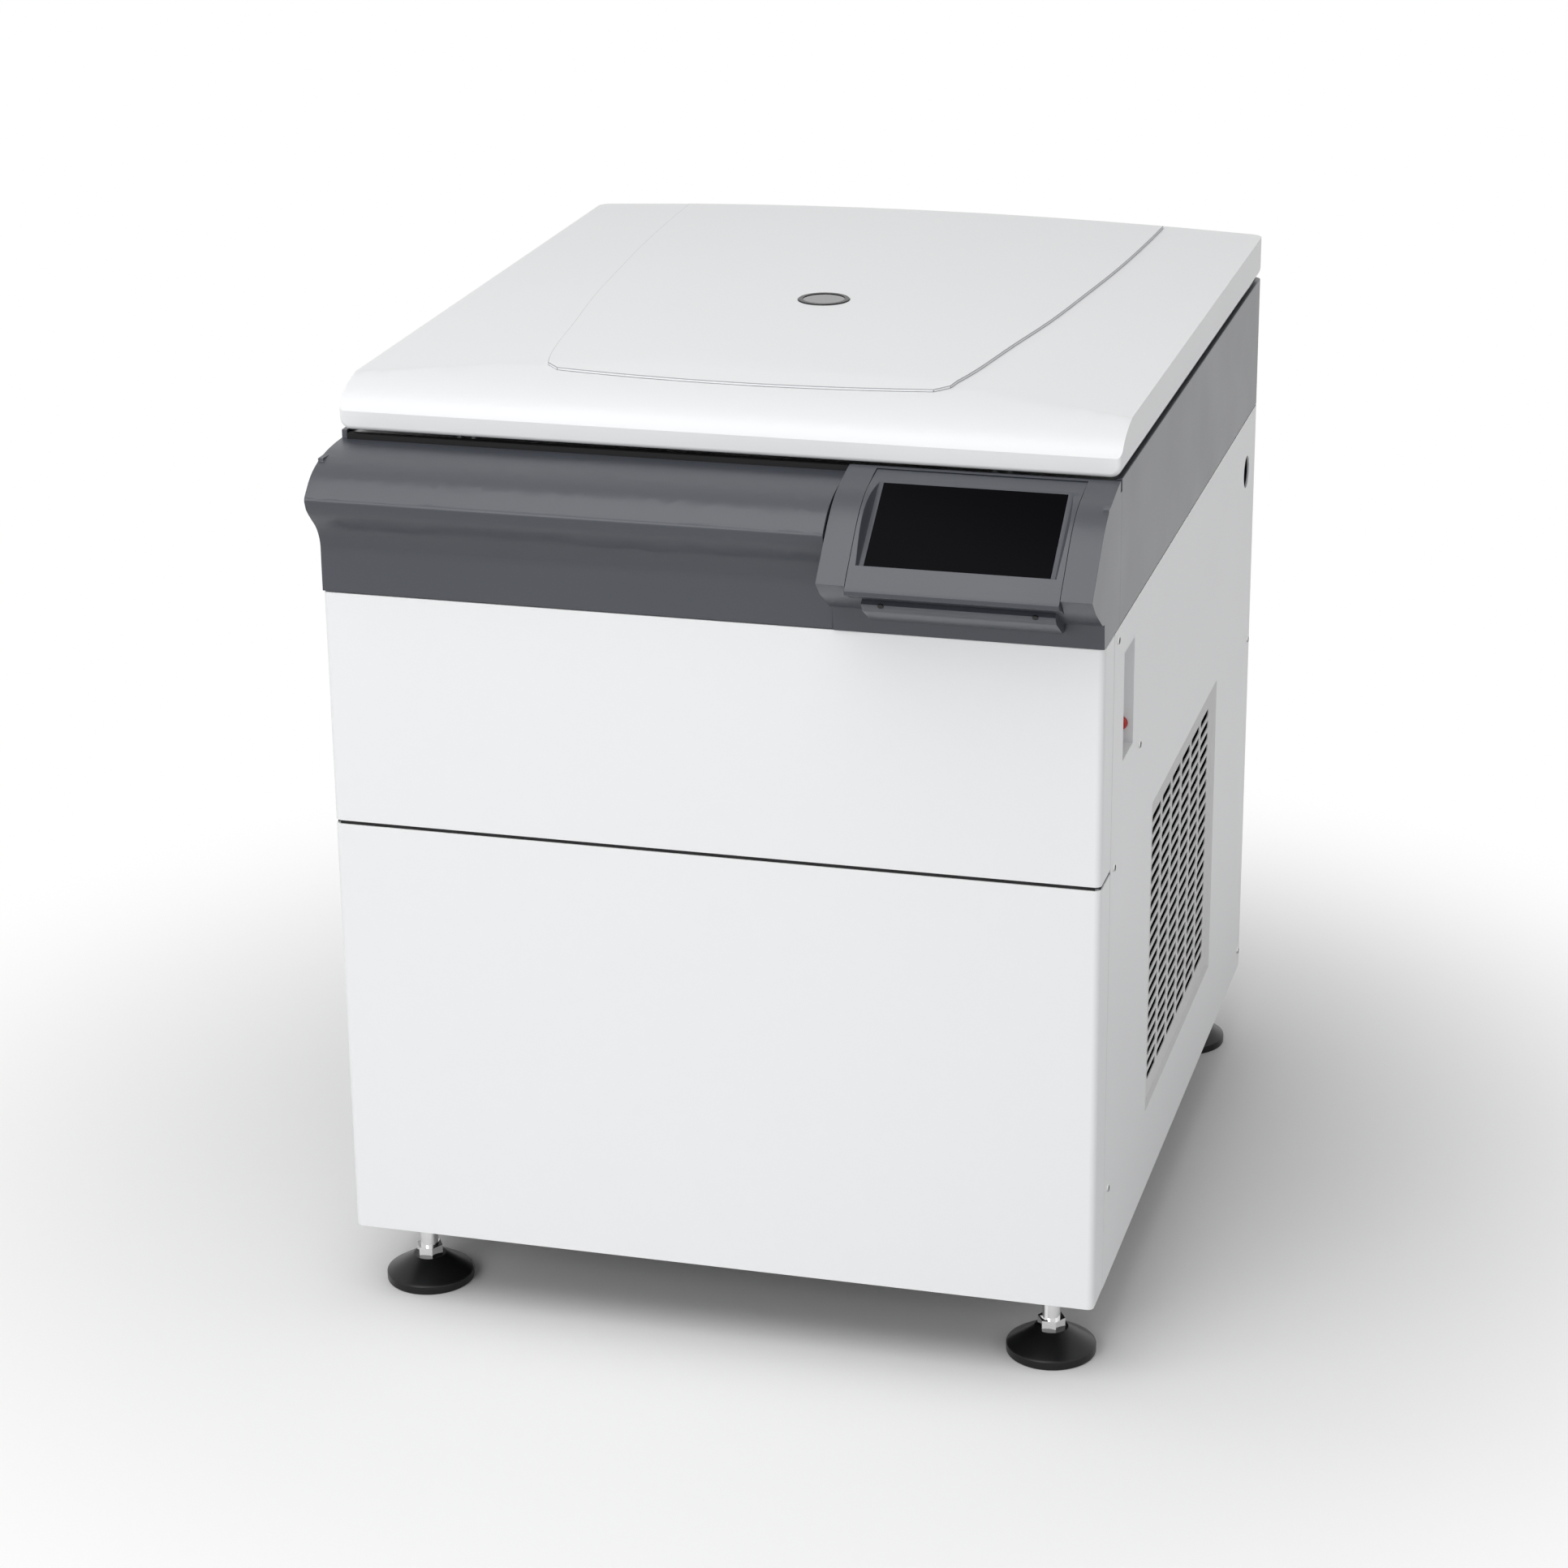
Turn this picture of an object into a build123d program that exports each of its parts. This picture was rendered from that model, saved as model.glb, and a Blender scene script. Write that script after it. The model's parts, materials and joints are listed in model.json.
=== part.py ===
"""A floor-standing refrigerated centrifuge: a sheet-metal cabinet on four levelling feet, with a dark
collar and tilted display, a crowned lid on a rear hinge, a steel chamber and a swing-out rotor.
All sizes are millimetres. The origin is on the floor, under the middle of the machine."""
import os
from math import atan2, cos, degrees, hypot, radians, sin
from build123d import *

# Cabinet
WIDTH = 680.0            # across the side panels
DEPTH = 800.0            # front cover to rear panel
HALF = WIDTH / 2
BASE_Z = 74.0            # underside of the panels above the floor
COLLAR_Z = 678.0         # underside of the dark collar
COLLAR_TOP = 804.0       # top edge of the collar
COVER_SPLIT_Z = 466.5    # middle of the gap between the two front covers
COVER_GAP = 3.0
COVER_RETURN = 42.0      # how far the front covers wrap round the sides
SHEET = 2.0              # panel thickness
SEAM = 1.0               # gap between neighbouring panels
CORNER_R = 10.0          # rounded vertical corners
COVER_CORNER_R = 6.0
FLANGE = 14.0            # turned-in edge of a front cover or the rear panel
SIDE_RETURN = 22.0       # turned-in edges of a side panel
CLEAR = 0.3              # between pieces that must not touch

# Display housing on the right of the collar
LIP_REACH = 63.0         # how far the display lip stands in front of the cabinet
HOUSING_X = HALF - 228   # left end of the housing
MODULE_X0, MODULE_X1 = HALF - 203.5, HALF - 26.5
SCREEN_W, SCREEN_H, SCREEN_T = 154.0, 86.0, 2.0
SCREEN_TOP_Y, SCREEN_DROP = 28.0, 6.0      # top edge behind the front plane, and below the collar top
SCREEN_TILT = 36.0                         # degrees above level
SCREEN_RECESS = 1.7
POCKET_SLOPE = 7.0                         # width of the pocket's sloping side
SCREEN_RIM = 4.0                           # flat rim round the glass
COLLAR_WALL = 5.0
LEDGE = 14.0                               # inner ledge that carries the deck
LEDGE_T = 6.0

# Lid
LID_FRONT = 57.0         # front face of the lid behind the cabinet's front
SKIRT_GAP = 1.5          # dark gap above the collar
LID_EDGE_H = 40.0        # height of the lid's side edges
LID_CROWN = 9.0          # how much higher its middle is
LID_WALL = 3.0
LID_FRONT_R = 4.0        # rounded front corners of the lid
PANEL_RAISE = 2.5        # height of the raised centre panel
HINGE_R = 11.5           # from the hinge axis to the lid's rear face and skirt
WINDOW_R, WINDOW_T = 19.0, 5.0
RING_R = 23.5
LINER_T = 4.0
LINER_GAP = 12.0         # liner's underside above the deck

# Chamber and rotor
DECK_T = 4.0
DECK_DROP = 4.0          # deck's top below the collar's top
AXIS_BACK = DEPTH / 2    # rotor axis behind the cabinet's front
BOWL_R, BOWL_DEPTH, BOWL_WALL = 258.0, 320.0, 2.0
BOWL_CORNER_R = 28.0
BOWL_FLANGE = 27.0
NECK_R = 36.0            # opening for the spindle in the bowl's floor
JACKET_T = 10.0          # evaporator jacket round the bowl
FOAM_T = 22.0            # foam between the jacket and the guard ring
GUARD_R, GUARD_WALL = BOWL_R + BOWL_WALL + JACKET_T + FOAM_T, 8.0
SPINDLE_R = 16.0
YOKE_R, YOKE_T = 172.0, 40.0
PIN_CIRCLE_R, PIN_R, PIN_Z = 132.0, 6.0, 640.0
BUCKET_R, BUCKET_WALL = 44.0, 2.5
BUCKET_ABOVE, BUCKET_BELOW = 20.0, 105.0
BUCKETS = 4
NOTCH_HALF = 52.0
NOTCH_INNER = 76.0
LUG_FACE = 50.0          # flat face of a bucket's lug from its middle
RUN = 0.05               # running clearance of a pin or shaft

# Drive and cooling
MOTOR_R, MOTOR_Z0, MOTOR_Z1 = 78.0, 150.0, 440.0
MOTOR_PLATE_Y, MOTOR_PLATE_T = 82.0, 10.0
MOUNT_Y, MOUNT_R, MOUNT_H = 60.0, 16.0, 30.0
BEARER_Z, BEARER_H, BEARER_W = 236.0, 24.0, 60.0
BEARER_X = 122.0
POST = 24.0
COMPRESSOR_R, COMPRESSOR_H = 66.0, 200.0
FAN_R, FAN_HUB_R, FAN_BLADES, FAN_W = 118.0, 30.0, 7, 16.0
FAN_BACK, FAN_Z = 415.0, 300.0
CONDENSER_T = 34.0

# Vents
VENT_BACK0, VENT_BACK1 = 240.0, 590.0
VENT_Z0, VENT_Z1 = 155.0, 455.0
VENT_DEPTH, VENT_BEVEL = 3.5, 2.5
SLOT_L, SLOT_H = 43.0, 6.5
SLOT_COLS, SLOT_ROWS = 6, 22
SLOT_PITCH_Y, SLOT_PITCH_Z = 51.5, 12.0

# Switch pocket and port in the right side
SWITCH_BACK0, SWITCH_BACK1 = 87.0, 137.0
SWITCH_Z0, SWITCH_Z1 = 548.0, 647.0
SWITCH_DEPTH = 20.0
BUTTON_R, BUTTON_H, BUTTON_Z = 6.0, 6.0, 567.0
PORT_BACK, PORT_Z, PORT_R = DEPTH - 60, 622.0, 16.0

# Levelling feet
PAD_R, PAD_RIM, PAD_H = 40.0, 8.0, 24.0
STEM_R, COLLAR_NUT_R, COLLAR_NUT_H = 8.0, 12.5, 9.0
STEM_TOP = 120.0
FOOT_X, FOOT_FRONT, FOOT_REAR = HALF - 48, 58.0, DEPTH - 48
PLATE_W, PLATE_T = 48.0, 12.0
PAN_LIFT = SHEET         # the base pan lies on the panels' turned-in edges

Y_FRONT = LIP_REACH - (DEPTH + LIP_REACH) / 2     # the cabinet's front plane
DECK_TOP = COLLAR_TOP - DECK_DROP
SKIRT_Z = COLLAR_TOP + SKIRT_GAP
PAN_Z = BASE_Z + PAN_LIFT
PAN_T = 3.0
LINER_Z = DECK_TOP + LINER_GAP
AXIS_Y = Y_FRONT + AXIS_BACK
HINGE_Y = Y_FRONT + DEPTH - HINGE_R
HINGE_Z = SKIRT_Z + HINGE_R
BOWL_FLOOR = DECK_TOP - BOWL_DEPTH

os.makedirs("parts", exist_ok=True)


def behind(distance):
    """A place measured back from the cabinet's front plane."""
    return Y_FRONT + distance


def save(builder, name):
    """Label a finished piece and write it."""
    builder.part.label = name
    export_step(builder.part, f"parts/{name}.step")


def block(x0, x1, y0, y1, z0, z1, mode=Mode.ADD):
    """A plain bar or plate between two corners."""
    with Locations(((x0 + x1) / 2, (y0 + y1) / 2, (z0 + z1) / 2)):
        Box(abs(x1 - x0), abs(y1 - y0), abs(z1 - z0), mode=mode)


def rod(x, y, z0, z1, radius, mode=Mode.ADD):
    """An upright round bar."""
    with Locations((x, y, (z0 + z1) / 2)):
        Cylinder(radius, z1 - z0, mode=mode)


def cross_rod(x0, x1, y, z, radius, mode=Mode.ADD):
    """A round bar that lies along X."""
    with Locations(Location(((x0 + x1) / 2, y, z), (0, 90, 0))):
        Cylinder(radius, x1 - x0, mode=mode)


# Front covers: two folded sheets that wrap round the front corners
def front_cover(name, z0, z1):
    with BuildPart() as cover:
        with BuildSketch(Plane.XY.offset(z0)) as outline:
            with Locations((0, behind(COVER_RETURN / 2))):
                Rectangle(WIDTH, COVER_RETURN)
            fillet(outline.vertices().group_by(Axis.Y)[0], COVER_CORNER_R)
        extrude(amount=z1 - z0)
        with BuildSketch(Plane.XY.offset(z0 + SHEET)) as hollow:
            with Locations((0, behind(COVER_RETURN / 2 + SHEET))):
                Rectangle(WIDTH - 2 * SHEET, COVER_RETURN)
            fillet(hollow.vertices().group_by(Axis.Y)[0], COVER_CORNER_R - SHEET)
        extrude(amount=z1 - z0 - 2 * SHEET, mode=Mode.SUBTRACT)
        block(-HALF + FLANGE, HALF - FLANGE, behind(FLANGE), behind(COVER_RETURN + 1), z0 - 1, z1 + 1,
              mode=Mode.SUBTRACT)
    save(cover, name)


front_cover("front_cover_upper", COVER_SPLIT_Z + COVER_GAP / 2, COLLAR_Z - SEAM)
front_cover("front_cover_lower", BASE_Z, COVER_SPLIT_Z - COVER_GAP / 2)


# Side panels: a flat sheet with a rounded rear return and a turned-in lower edge
def side_panel(name, side):
    panel_len = DEPTH - COVER_RETURN - SEAM
    panel_mid = behind(DEPTH - panel_len / 2)
    with BuildPart() as panel:
        with BuildSketch(Plane.XY.offset(BASE_Z)) as plan:
            with Locations((side * (HALF - SIDE_RETURN / 2), panel_mid)):
                Rectangle(SIDE_RETURN, panel_len)
            outer = plan.vertices().group_by(Axis.Y)[-1].sort_by(Axis.X)[-1 if side > 0 else 0]
            fillet(outer, CORNER_R)
        extrude(amount=COLLAR_Z - SEAM - BASE_Z)
        with BuildSketch(Plane.XY.offset(BASE_Z + SHEET)) as hollow:
            with Locations((side * (HALF - SIDE_RETURN / 2 - SHEET), panel_mid - SHEET)):
                Rectangle(SIDE_RETURN, panel_len)
            inner = hollow.vertices().group_by(Axis.Y)[-1].sort_by(Axis.X)[-1 if side > 0 else 0]
            fillet(inner, CORNER_R - SHEET)
        extrude(amount=COLLAR_Z - BASE_Z, mode=Mode.SUBTRACT)
        vent_y = behind((VENT_BACK0 + VENT_BACK1) / 2)
        with Locations((side * HALF, vent_y, (VENT_Z0 + VENT_Z1) / 2)):
            Box(4 * SHEET, VENT_BACK1 - VENT_BACK0, VENT_Z1 - VENT_Z0, mode=Mode.SUBTRACT)
        if side > 0:
            block(HALF - 2 * SHEET, HALF + 1, behind(SWITCH_BACK0), behind(SWITCH_BACK1), SWITCH_Z0, SWITCH_Z1,
                  mode=Mode.SUBTRACT)
            cross_rod(HALF - 3, HALF + 1, behind(PORT_BACK), PORT_Z, PORT_R, mode=Mode.SUBTRACT)
    save(panel, name)


side_panel("side_panel_right", 1)
side_panel("side_panel_left", -1)

# Rear panel between the side panels' returns
REAR_HALF = HALF - SIDE_RETURN - SEAM
with BuildPart() as rear_panel:
    block(-REAR_HALF, REAR_HALF, behind(DEPTH - SHEET), behind(DEPTH), BASE_Z, COLLAR_Z - SEAM)
    block(-REAR_HALF, REAR_HALF, behind(DEPTH - FLANGE), behind(DEPTH), BASE_Z, BASE_Z + SHEET)
    INLET_X, INLET_Z, INLET_R = -200.0, 150.0, 21.0
    with Locations(Location((INLET_X, behind(DEPTH - SHEET / 2), INLET_Z), (90, 0, 0))):
        Cylinder(INLET_R + CLEAR, 4 * SHEET, mode=Mode.SUBTRACT)
save(rear_panel, "rear_panel")

with BuildPart() as mains_inlet:
    with BuildSketch(Plane.XZ.offset(-behind(DEPTH - SHEET - CLEAR))):
        with Locations((INLET_X, INLET_Z)):
            Circle(INLET_R + 7)
    extrude(amount=4)
    with BuildSketch(Plane.XZ.offset(-behind(DEPTH))):
        with Locations((INLET_X, INLET_Z)):
            Circle(INLET_R)
    extrude(amount=40)
    with BuildSketch(Plane.XZ.offset(-behind(DEPTH))):
        with Locations((INLET_X, INLET_Z)):
            Circle(INLET_R - 4)
    extrude(amount=30, mode=Mode.SUBTRACT)
    with BuildSketch(Plane.XZ.offset(-behind(DEPTH - 6))):
        with Locations((INLET_X, INLET_Z)):
            with PolarLocations(9, 3, 90):
                Circle(2.4)
    extrude(amount=30)
save(mains_inlet, "mains_inlet")


# Vent grilles: a shallow pressed pan in each side, pierced with rows of slots
with BuildPart() as vent_grilles:
    for side in (1, -1):
        vent_y, vent_z = behind((VENT_BACK0 + VENT_BACK1) / 2), (VENT_Z0 + VENT_Z1) / 2
        vent_w, vent_h = VENT_BACK1 - VENT_BACK0 - 0.2, VENT_Z1 - VENT_Z0 - 0.2
        for shrink, mode in ((0.0, Mode.ADD), (1.5, Mode.SUBTRACT)):
            with BuildSketch(Plane.YZ.offset(side * (HALF + (0.01 if shrink else 0)))):
                with Locations((vent_y, vent_z)):
                    Rectangle(vent_w - 2 * shrink, vent_h - 2 * shrink)
            with BuildSketch(Plane.YZ.offset(side * (HALF - VENT_DEPTH - 1.5 + shrink))):
                with Locations((vent_y, vent_z)):
                    Rectangle(vent_w - 2 * VENT_BEVEL - 2 * shrink, vent_h - 2 * VENT_BEVEL - 2 * shrink)
            loft(mode=mode)
        with Locations((side * (HALF - VENT_DEPTH), vent_y, vent_z)):
            with Locations(Location((0, 0, 0), (0, 90, 0))):
                with GridLocations(SLOT_PITCH_Z, SLOT_PITCH_Y, SLOT_ROWS, SLOT_COLS):
                    Box(SLOT_H, SLOT_L, 10, mode=Mode.SUBTRACT)
save(vent_grilles, "vent_grilles")

# Switch pocket: a moulded recess with the power button in its rear wall
POCKET_WALL = 1.6
pocket_in = HALF - SWITCH_DEPTH
with BuildPart() as switch_pocket:
    block(pocket_in - POCKET_WALL, HALF, behind(SWITCH_BACK0 + 0.1), behind(SWITCH_BACK1 - 0.1),
          SWITCH_Z0 + 0.1, SWITCH_Z1 - 0.1)
    block(pocket_in, HALF + 1, behind(SWITCH_BACK0 + POCKET_WALL), behind(SWITCH_BACK1 - POCKET_WALL),
          SWITCH_Z0 + POCKET_WALL, SWITCH_Z1 - POCKET_WALL, mode=Mode.SUBTRACT)
    with Locations(Location((HALF - 11, behind(SWITCH_BACK1), BUTTON_Z), (90, 0, 0))):
        Cylinder(BUTTON_R + 0.3, 8, mode=Mode.SUBTRACT)
save(switch_pocket, "switch_pocket")

with BuildPart() as power_button:
    with BuildSketch(Plane.XZ.offset(-behind(SWITCH_BACK1 - POCKET_WALL - 4.0))):
        with Locations((HALF - 11, BUTTON_Z)):
            Circle(BUTTON_R)
    extrude(amount=-(BUTTON_H + 8))
    fillet(power_button.edges().group_by(Axis.Y)[0], 1.5)
save(power_button, "power_button")

# Base pan with a welded plate under each foot position
feet = {
    "front_left": (-FOOT_X, behind(FOOT_FRONT)), "front_right": (FOOT_X, behind(FOOT_FRONT)),
    "rear_left": (-FOOT_X, behind(FOOT_REAR)), "rear_right": (FOOT_X, behind(FOOT_REAR)),
}
with BuildPart() as base_pan:
    with BuildSketch(Plane.XY.offset(PAN_Z)) as pan_plan:
        with Locations((0, behind(DEPTH / 2))):
            Rectangle(WIDTH - 2 * (SHEET + CLEAR), DEPTH - 2 * (SHEET + CLEAR))
        fillet(pan_plan.vertices(), CORNER_R)
    extrude(amount=PAN_T)
    for x, y in feet.values():
        block(x - PLATE_W / 2, x + PLATE_W / 2, y - PLATE_W / 2, y + PLATE_W / 2, PAN_Z - PLATE_T, PAN_Z)
        rod(x, y, PAN_Z - 20, PAN_Z + 20, STEM_R + RUN, mode=Mode.SUBTRACT)
    DRAIN_X, DRAIN_BACK, DRAIN_R = 150.0, DEPTH - 160, 8.0
    rod(DRAIN_X, behind(DRAIN_BACK), PAN_Z - 5, PAN_Z + 5, DRAIN_R + CLEAR, mode=Mode.SUBTRACT)
save(base_pan, "base_pan")

# Levelling feet: a threaded stem with a hexagon in a round pad
for place, (x, y) in feet.items():
    with BuildPart() as pad:
        with BuildSketch(Plane.XZ.offset(-y)):
            with BuildLine():
                Polyline((x, 0), (x + PAD_R - 1, 0), (x + PAD_R, 1), (x + PAD_R, PAD_RIM),
                         (x + PAD_R - 2, PAD_RIM + 1.5), (x + 15, PAD_H), (x, PAD_H), close=True)
            make_face()
        revolve(axis=Axis((x, y, 0), (0, 0, 1)))
        rod(x, y, PAD_H - 8, PAD_H + 1, STEM_R, mode=Mode.SUBTRACT)
    save(pad, f"foot_pad_{place}")
    with BuildPart() as stem:
        rod(x, y, PAD_H - 8, STEM_TOP, STEM_R)
        with BuildSketch(Plane.XY.offset(PAD_H)):
            with Locations((x, y)):
                RegularPolygon(COLLAR_NUT_R, 6)
        extrude(amount=COLLAR_NUT_H)
        fillet(stem.edges().group_by(Axis.Z)[0], 0.6)
        chamfer(stem.edges().group_by(Axis.Z)[-1], 1.2)
    save(stem, f"foot_stem_{place}")

with BuildPart() as drain_spigot:
    rod(DRAIN_X, behind(DRAIN_BACK), PAN_Z - 26, PAN_Z + PAN_T + 30, DRAIN_R)
    rod(DRAIN_X, behind(DRAIN_BACK), PAN_Z + PAN_T, PAN_Z + PAN_T + 4, DRAIN_R + 6)
    rod(DRAIN_X, behind(DRAIN_BACK), PAN_Z - 4, PAN_Z, DRAIN_R + 6)
    rod(DRAIN_X, behind(DRAIN_BACK), PAN_Z - 27, PAN_Z + PAN_T + 31, DRAIN_R - 2, mode=Mode.SUBTRACT)
save(drain_spigot, "drain_spigot")

# Welded inner frame: four posts, top and bottom rails, and two bearers under the motor
FRAME_X = HALF - SWITCH_DEPTH - 3
FRAME_Y0, FRAME_Y1 = behind(FOOT_FRONT + 15), behind(FOOT_REAR - 22)
FRAME_TOP = DECK_TOP - DECK_T
CROSS_Z = 560.0
COVER_BRACKETS_Z = (430.0, 480.0, 645.0)      # stand-offs that carry the front covers
with BuildPart() as inner_frame:
    for side in (-1, 1):
        for y in (FRAME_Y0, FRAME_Y1 - POST):
            block(side * FRAME_X, side * (FRAME_X - POST), y, y + POST, PAN_Z + PAN_T, FRAME_TOP)
        block(side * FRAME_X, side * (FRAME_X - POST), FRAME_Y0, FRAME_Y1, PAN_Z + PAN_T, PAN_Z + PAN_T + POST)
        block(side * BEARER_X - BEARER_W / 2, side * BEARER_X + BEARER_W / 2, FRAME_Y0, FRAME_Y1,
              BEARER_Z, BEARER_Z + BEARER_H)
    for y in (FRAME_Y0, FRAME_Y1 - POST):
        block(-FRAME_X, FRAME_X, y, y + POST, BEARER_Z, BEARER_Z + BEARER_H)
        block(-FRAME_X, FRAME_X, y, y + POST, CROSS_Z, CROSS_Z + POST)
    for x in (-FRAME_X, FRAME_X - POST):
        for z in COVER_BRACKETS_Z:
            block(x, x + POST, behind(SHEET + CLEAR), FRAME_Y0, z, z + POST)
save(inner_frame, "inner_frame")

# Dark collar: a moulded ring with a rounded nose along the front
NOSE_CROWN = [(62, -7), (33, -8), (4, -13), (-16, -22), (-28, -33), (-30.6, -38.5)]
NOSE_UNDER = [(-28, -46), (-18, -57), (-6.5, -69), (-0.5, -82), (0, -100)]
NOSE_BACK = [(10, -50), (56, -20)]


def front_points(offsets):
    """Side-view points from distances behind the front plane and below the collar's top."""
    return [(behind(back), COLLAR_TOP + drop) for back, drop in offsets]


with BuildPart() as collar:
    with BuildSketch(Plane.XY.offset(COLLAR_Z)) as ring:
        with Locations((0, behind(DEPTH / 2))):
            Rectangle(WIDTH, DEPTH)
        fillet(ring.vertices().group_by(Axis.Y)[-1], CORNER_R)
        with Locations((0, behind((DEPTH - COLLAR_WALL) / 2 - 5))):
            Rectangle(WIDTH - 2 * COLLAR_WALL, DEPTH - COLLAR_WALL + 10, mode=Mode.SUBTRACT)
    extrude(amount=COLLAR_TOP - COLLAR_Z)
    block(-HALF - 1, HALF + 1, behind(-5), behind(LID_FRONT + 5), COLLAR_Z - 1, COLLAR_TOP + 1,
          mode=Mode.SUBTRACT)
    ledge_z = DECK_TOP - DECK_T
    for side in (-1, 1):
        block(side * (HALF - COLLAR_WALL), side * (HALF - LEDGE), behind(LID_FRONT + 5), behind(DEPTH - 2),
              ledge_z - LEDGE_T, ledge_z)
    block(-HALF + 5, HALF - 5, behind(DEPTH - LEDGE), behind(DEPTH - 2), ledge_z - LEDGE_T, ledge_z)
    with BuildSketch(Plane.YZ.offset(-HALF)):
        crown, under, back = (front_points(p) for p in (NOSE_CROWN, NOSE_UNDER, NOSE_BACK))
        with BuildLine():
            Spline(crown, tangents=[(-1, 0.0), (0, -1)])
            Line(crown[-1], under[0])
            Spline(under, tangents=[(0.6, -0.8), (0, -1)])
            Polyline(under[-1], (behind(0), COLLAR_Z), (behind(10), COLLAR_Z), back[0], back[1],
                     (crown[0][0], back[1][1]), crown[0])
        make_face()
    extrude(amount=HALF + HOUSING_X - SEAM)
    block(-HALF, -HALF + COLLAR_WALL, behind(5), behind(LID_FRONT + 6), COLLAR_Z, COLLAR_TOP - 10)
save(collar, "collar")

# Display housing: two pillars, a chin and the pocket that holds the display module
HOUSE_CROWN = [(56, 0), (27, -6), (9, -11), (-16, -26), (-43, -52), (-59.5, -69)]
HOUSE_UNDER = [(-44, -83), (-14, -102), (-5, -104), (-3, -126)]
CHIN = [(-57, -72), (-41, -95), (-16, -110), (-6, -112), (-6, -98), (-44, -74)]
MODULE_CROWN = [(54, -1), (27, -6), (9, -11), (-16, -26), (-43, -52), (-60, -70), (-63, -72)]


SCREEN_FALL = Vector(0, -cos(radians(SCREEN_TILT)), -sin(radians(SCREEN_TILT)))
SCREEN_NORMAL = Vector(0, -sin(radians(SCREEN_TILT)), cos(radians(SCREEN_TILT)))
SCREEN_X = (MODULE_X0 + MODULE_X1) / 2
screen_top = Vector(SCREEN_X, behind(SCREEN_TOP_Y), COLLAR_TOP - SCREEN_DROP)
screen_mid = screen_top + SCREEN_FALL * (SCREEN_H / 2)
screen_plane = Plane(origin=screen_mid, x_dir=(1, 0, 0), z_dir=SCREEN_NORMAL)
MODULE_BACK = 22.0       # thickness of the module behind its glass

with BuildPart() as display_housing:
    with BuildSketch(Plane.YZ.offset(HOUSING_X)):
        crown, under = front_points(HOUSE_CROWN), front_points(HOUSE_UNDER)
        with BuildLine():
            Spline(crown, tangents=[(-1, -0.1), (-0.62, -0.78)])
            Polyline(crown[-1], *under, (behind(12), COLLAR_Z), (behind(12), COLLAR_TOP - 60),
                     (behind(50), COLLAR_TOP - 20), (behind(56), COLLAR_TOP - 20), crown[0])
        make_face()
    extrude(amount=HALF - HOUSING_X)
    with BuildSketch(Plane.YZ.offset(MODULE_X0 + 10)):
        with BuildLine():
            Polyline(*front_points(CHIN), close=True)
        make_face()
    extrude(amount=MODULE_X1 - MODULE_X0 - 16)
    with BuildSketch(screen_plane.offset(-MODULE_BACK - CLEAR)):
        with Locations((0, -8)):
            Rectangle(MODULE_X1 - MODULE_X0 + 2 * CLEAR, SCREEN_H + 60)
    extrude(amount=80, mode=Mode.SUBTRACT)
    block(HALF - COLLAR_WALL, HALF, behind(5), behind(LID_FRONT + 5), COLLAR_Z, COLLAR_TOP - 10)
save(display_housing, "display_housing")

with BuildPart() as display_module:
    with BuildSketch(Plane.YZ.offset(MODULE_X0)):
        crown = front_points(MODULE_CROWN[:-1])
        lip = front_points(MODULE_CROWN[-1:])[0]
        with BuildLine():
            Spline(crown, tangents=[(-1, -0.2), (-0.62, -0.78)])
            Polyline(crown[-1], lip, (lip[0] + 1, lip[1] - 4), (lip[0] + 14, lip[1] - 9), (lip[0] + 50, lip[1] - 30),
                     (crown[0][0], crown[0][1] - 16), crown[0])
        make_face()
    extrude(amount=MODULE_X1 - MODULE_X0)
    with BuildSketch(screen_plane.offset(-MODULE_BACK)):
        with Locations((0, -8)):
            Rectangle(MODULE_X1 - MODULE_X0 + 2, SCREEN_H + 60 - 2 * CLEAR)
    extrude(amount=60, mode=Mode.INTERSECT)
    with BuildSketch(screen_plane):
        Rectangle(SCREEN_W + 2 * SCREEN_RIM, SCREEN_H + SCREEN_RIM)
    with BuildSketch(screen_plane.offset(16)):
        Rectangle(SCREEN_W + 2 * SCREEN_RIM + 2 * POCKET_SLOPE, SCREEN_H + SCREEN_RIM + 4)
    loft(mode=Mode.SUBTRACT)
    with BuildSketch(screen_plane.offset(-SCREEN_RECESS)):
        Rectangle(SCREEN_W + 0.2, SCREEN_H + 0.2)
    extrude(amount=SCREEN_RECESS + 1, mode=Mode.SUBTRACT)
save(display_module, "display_module")

with BuildPart() as display_screen:
    with BuildSketch(screen_plane.offset(-SCREEN_RECESS)):
        Rectangle(SCREEN_W, SCREEN_H)
    extrude(amount=SCREEN_T)
save(display_screen, "display_screen")

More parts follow.
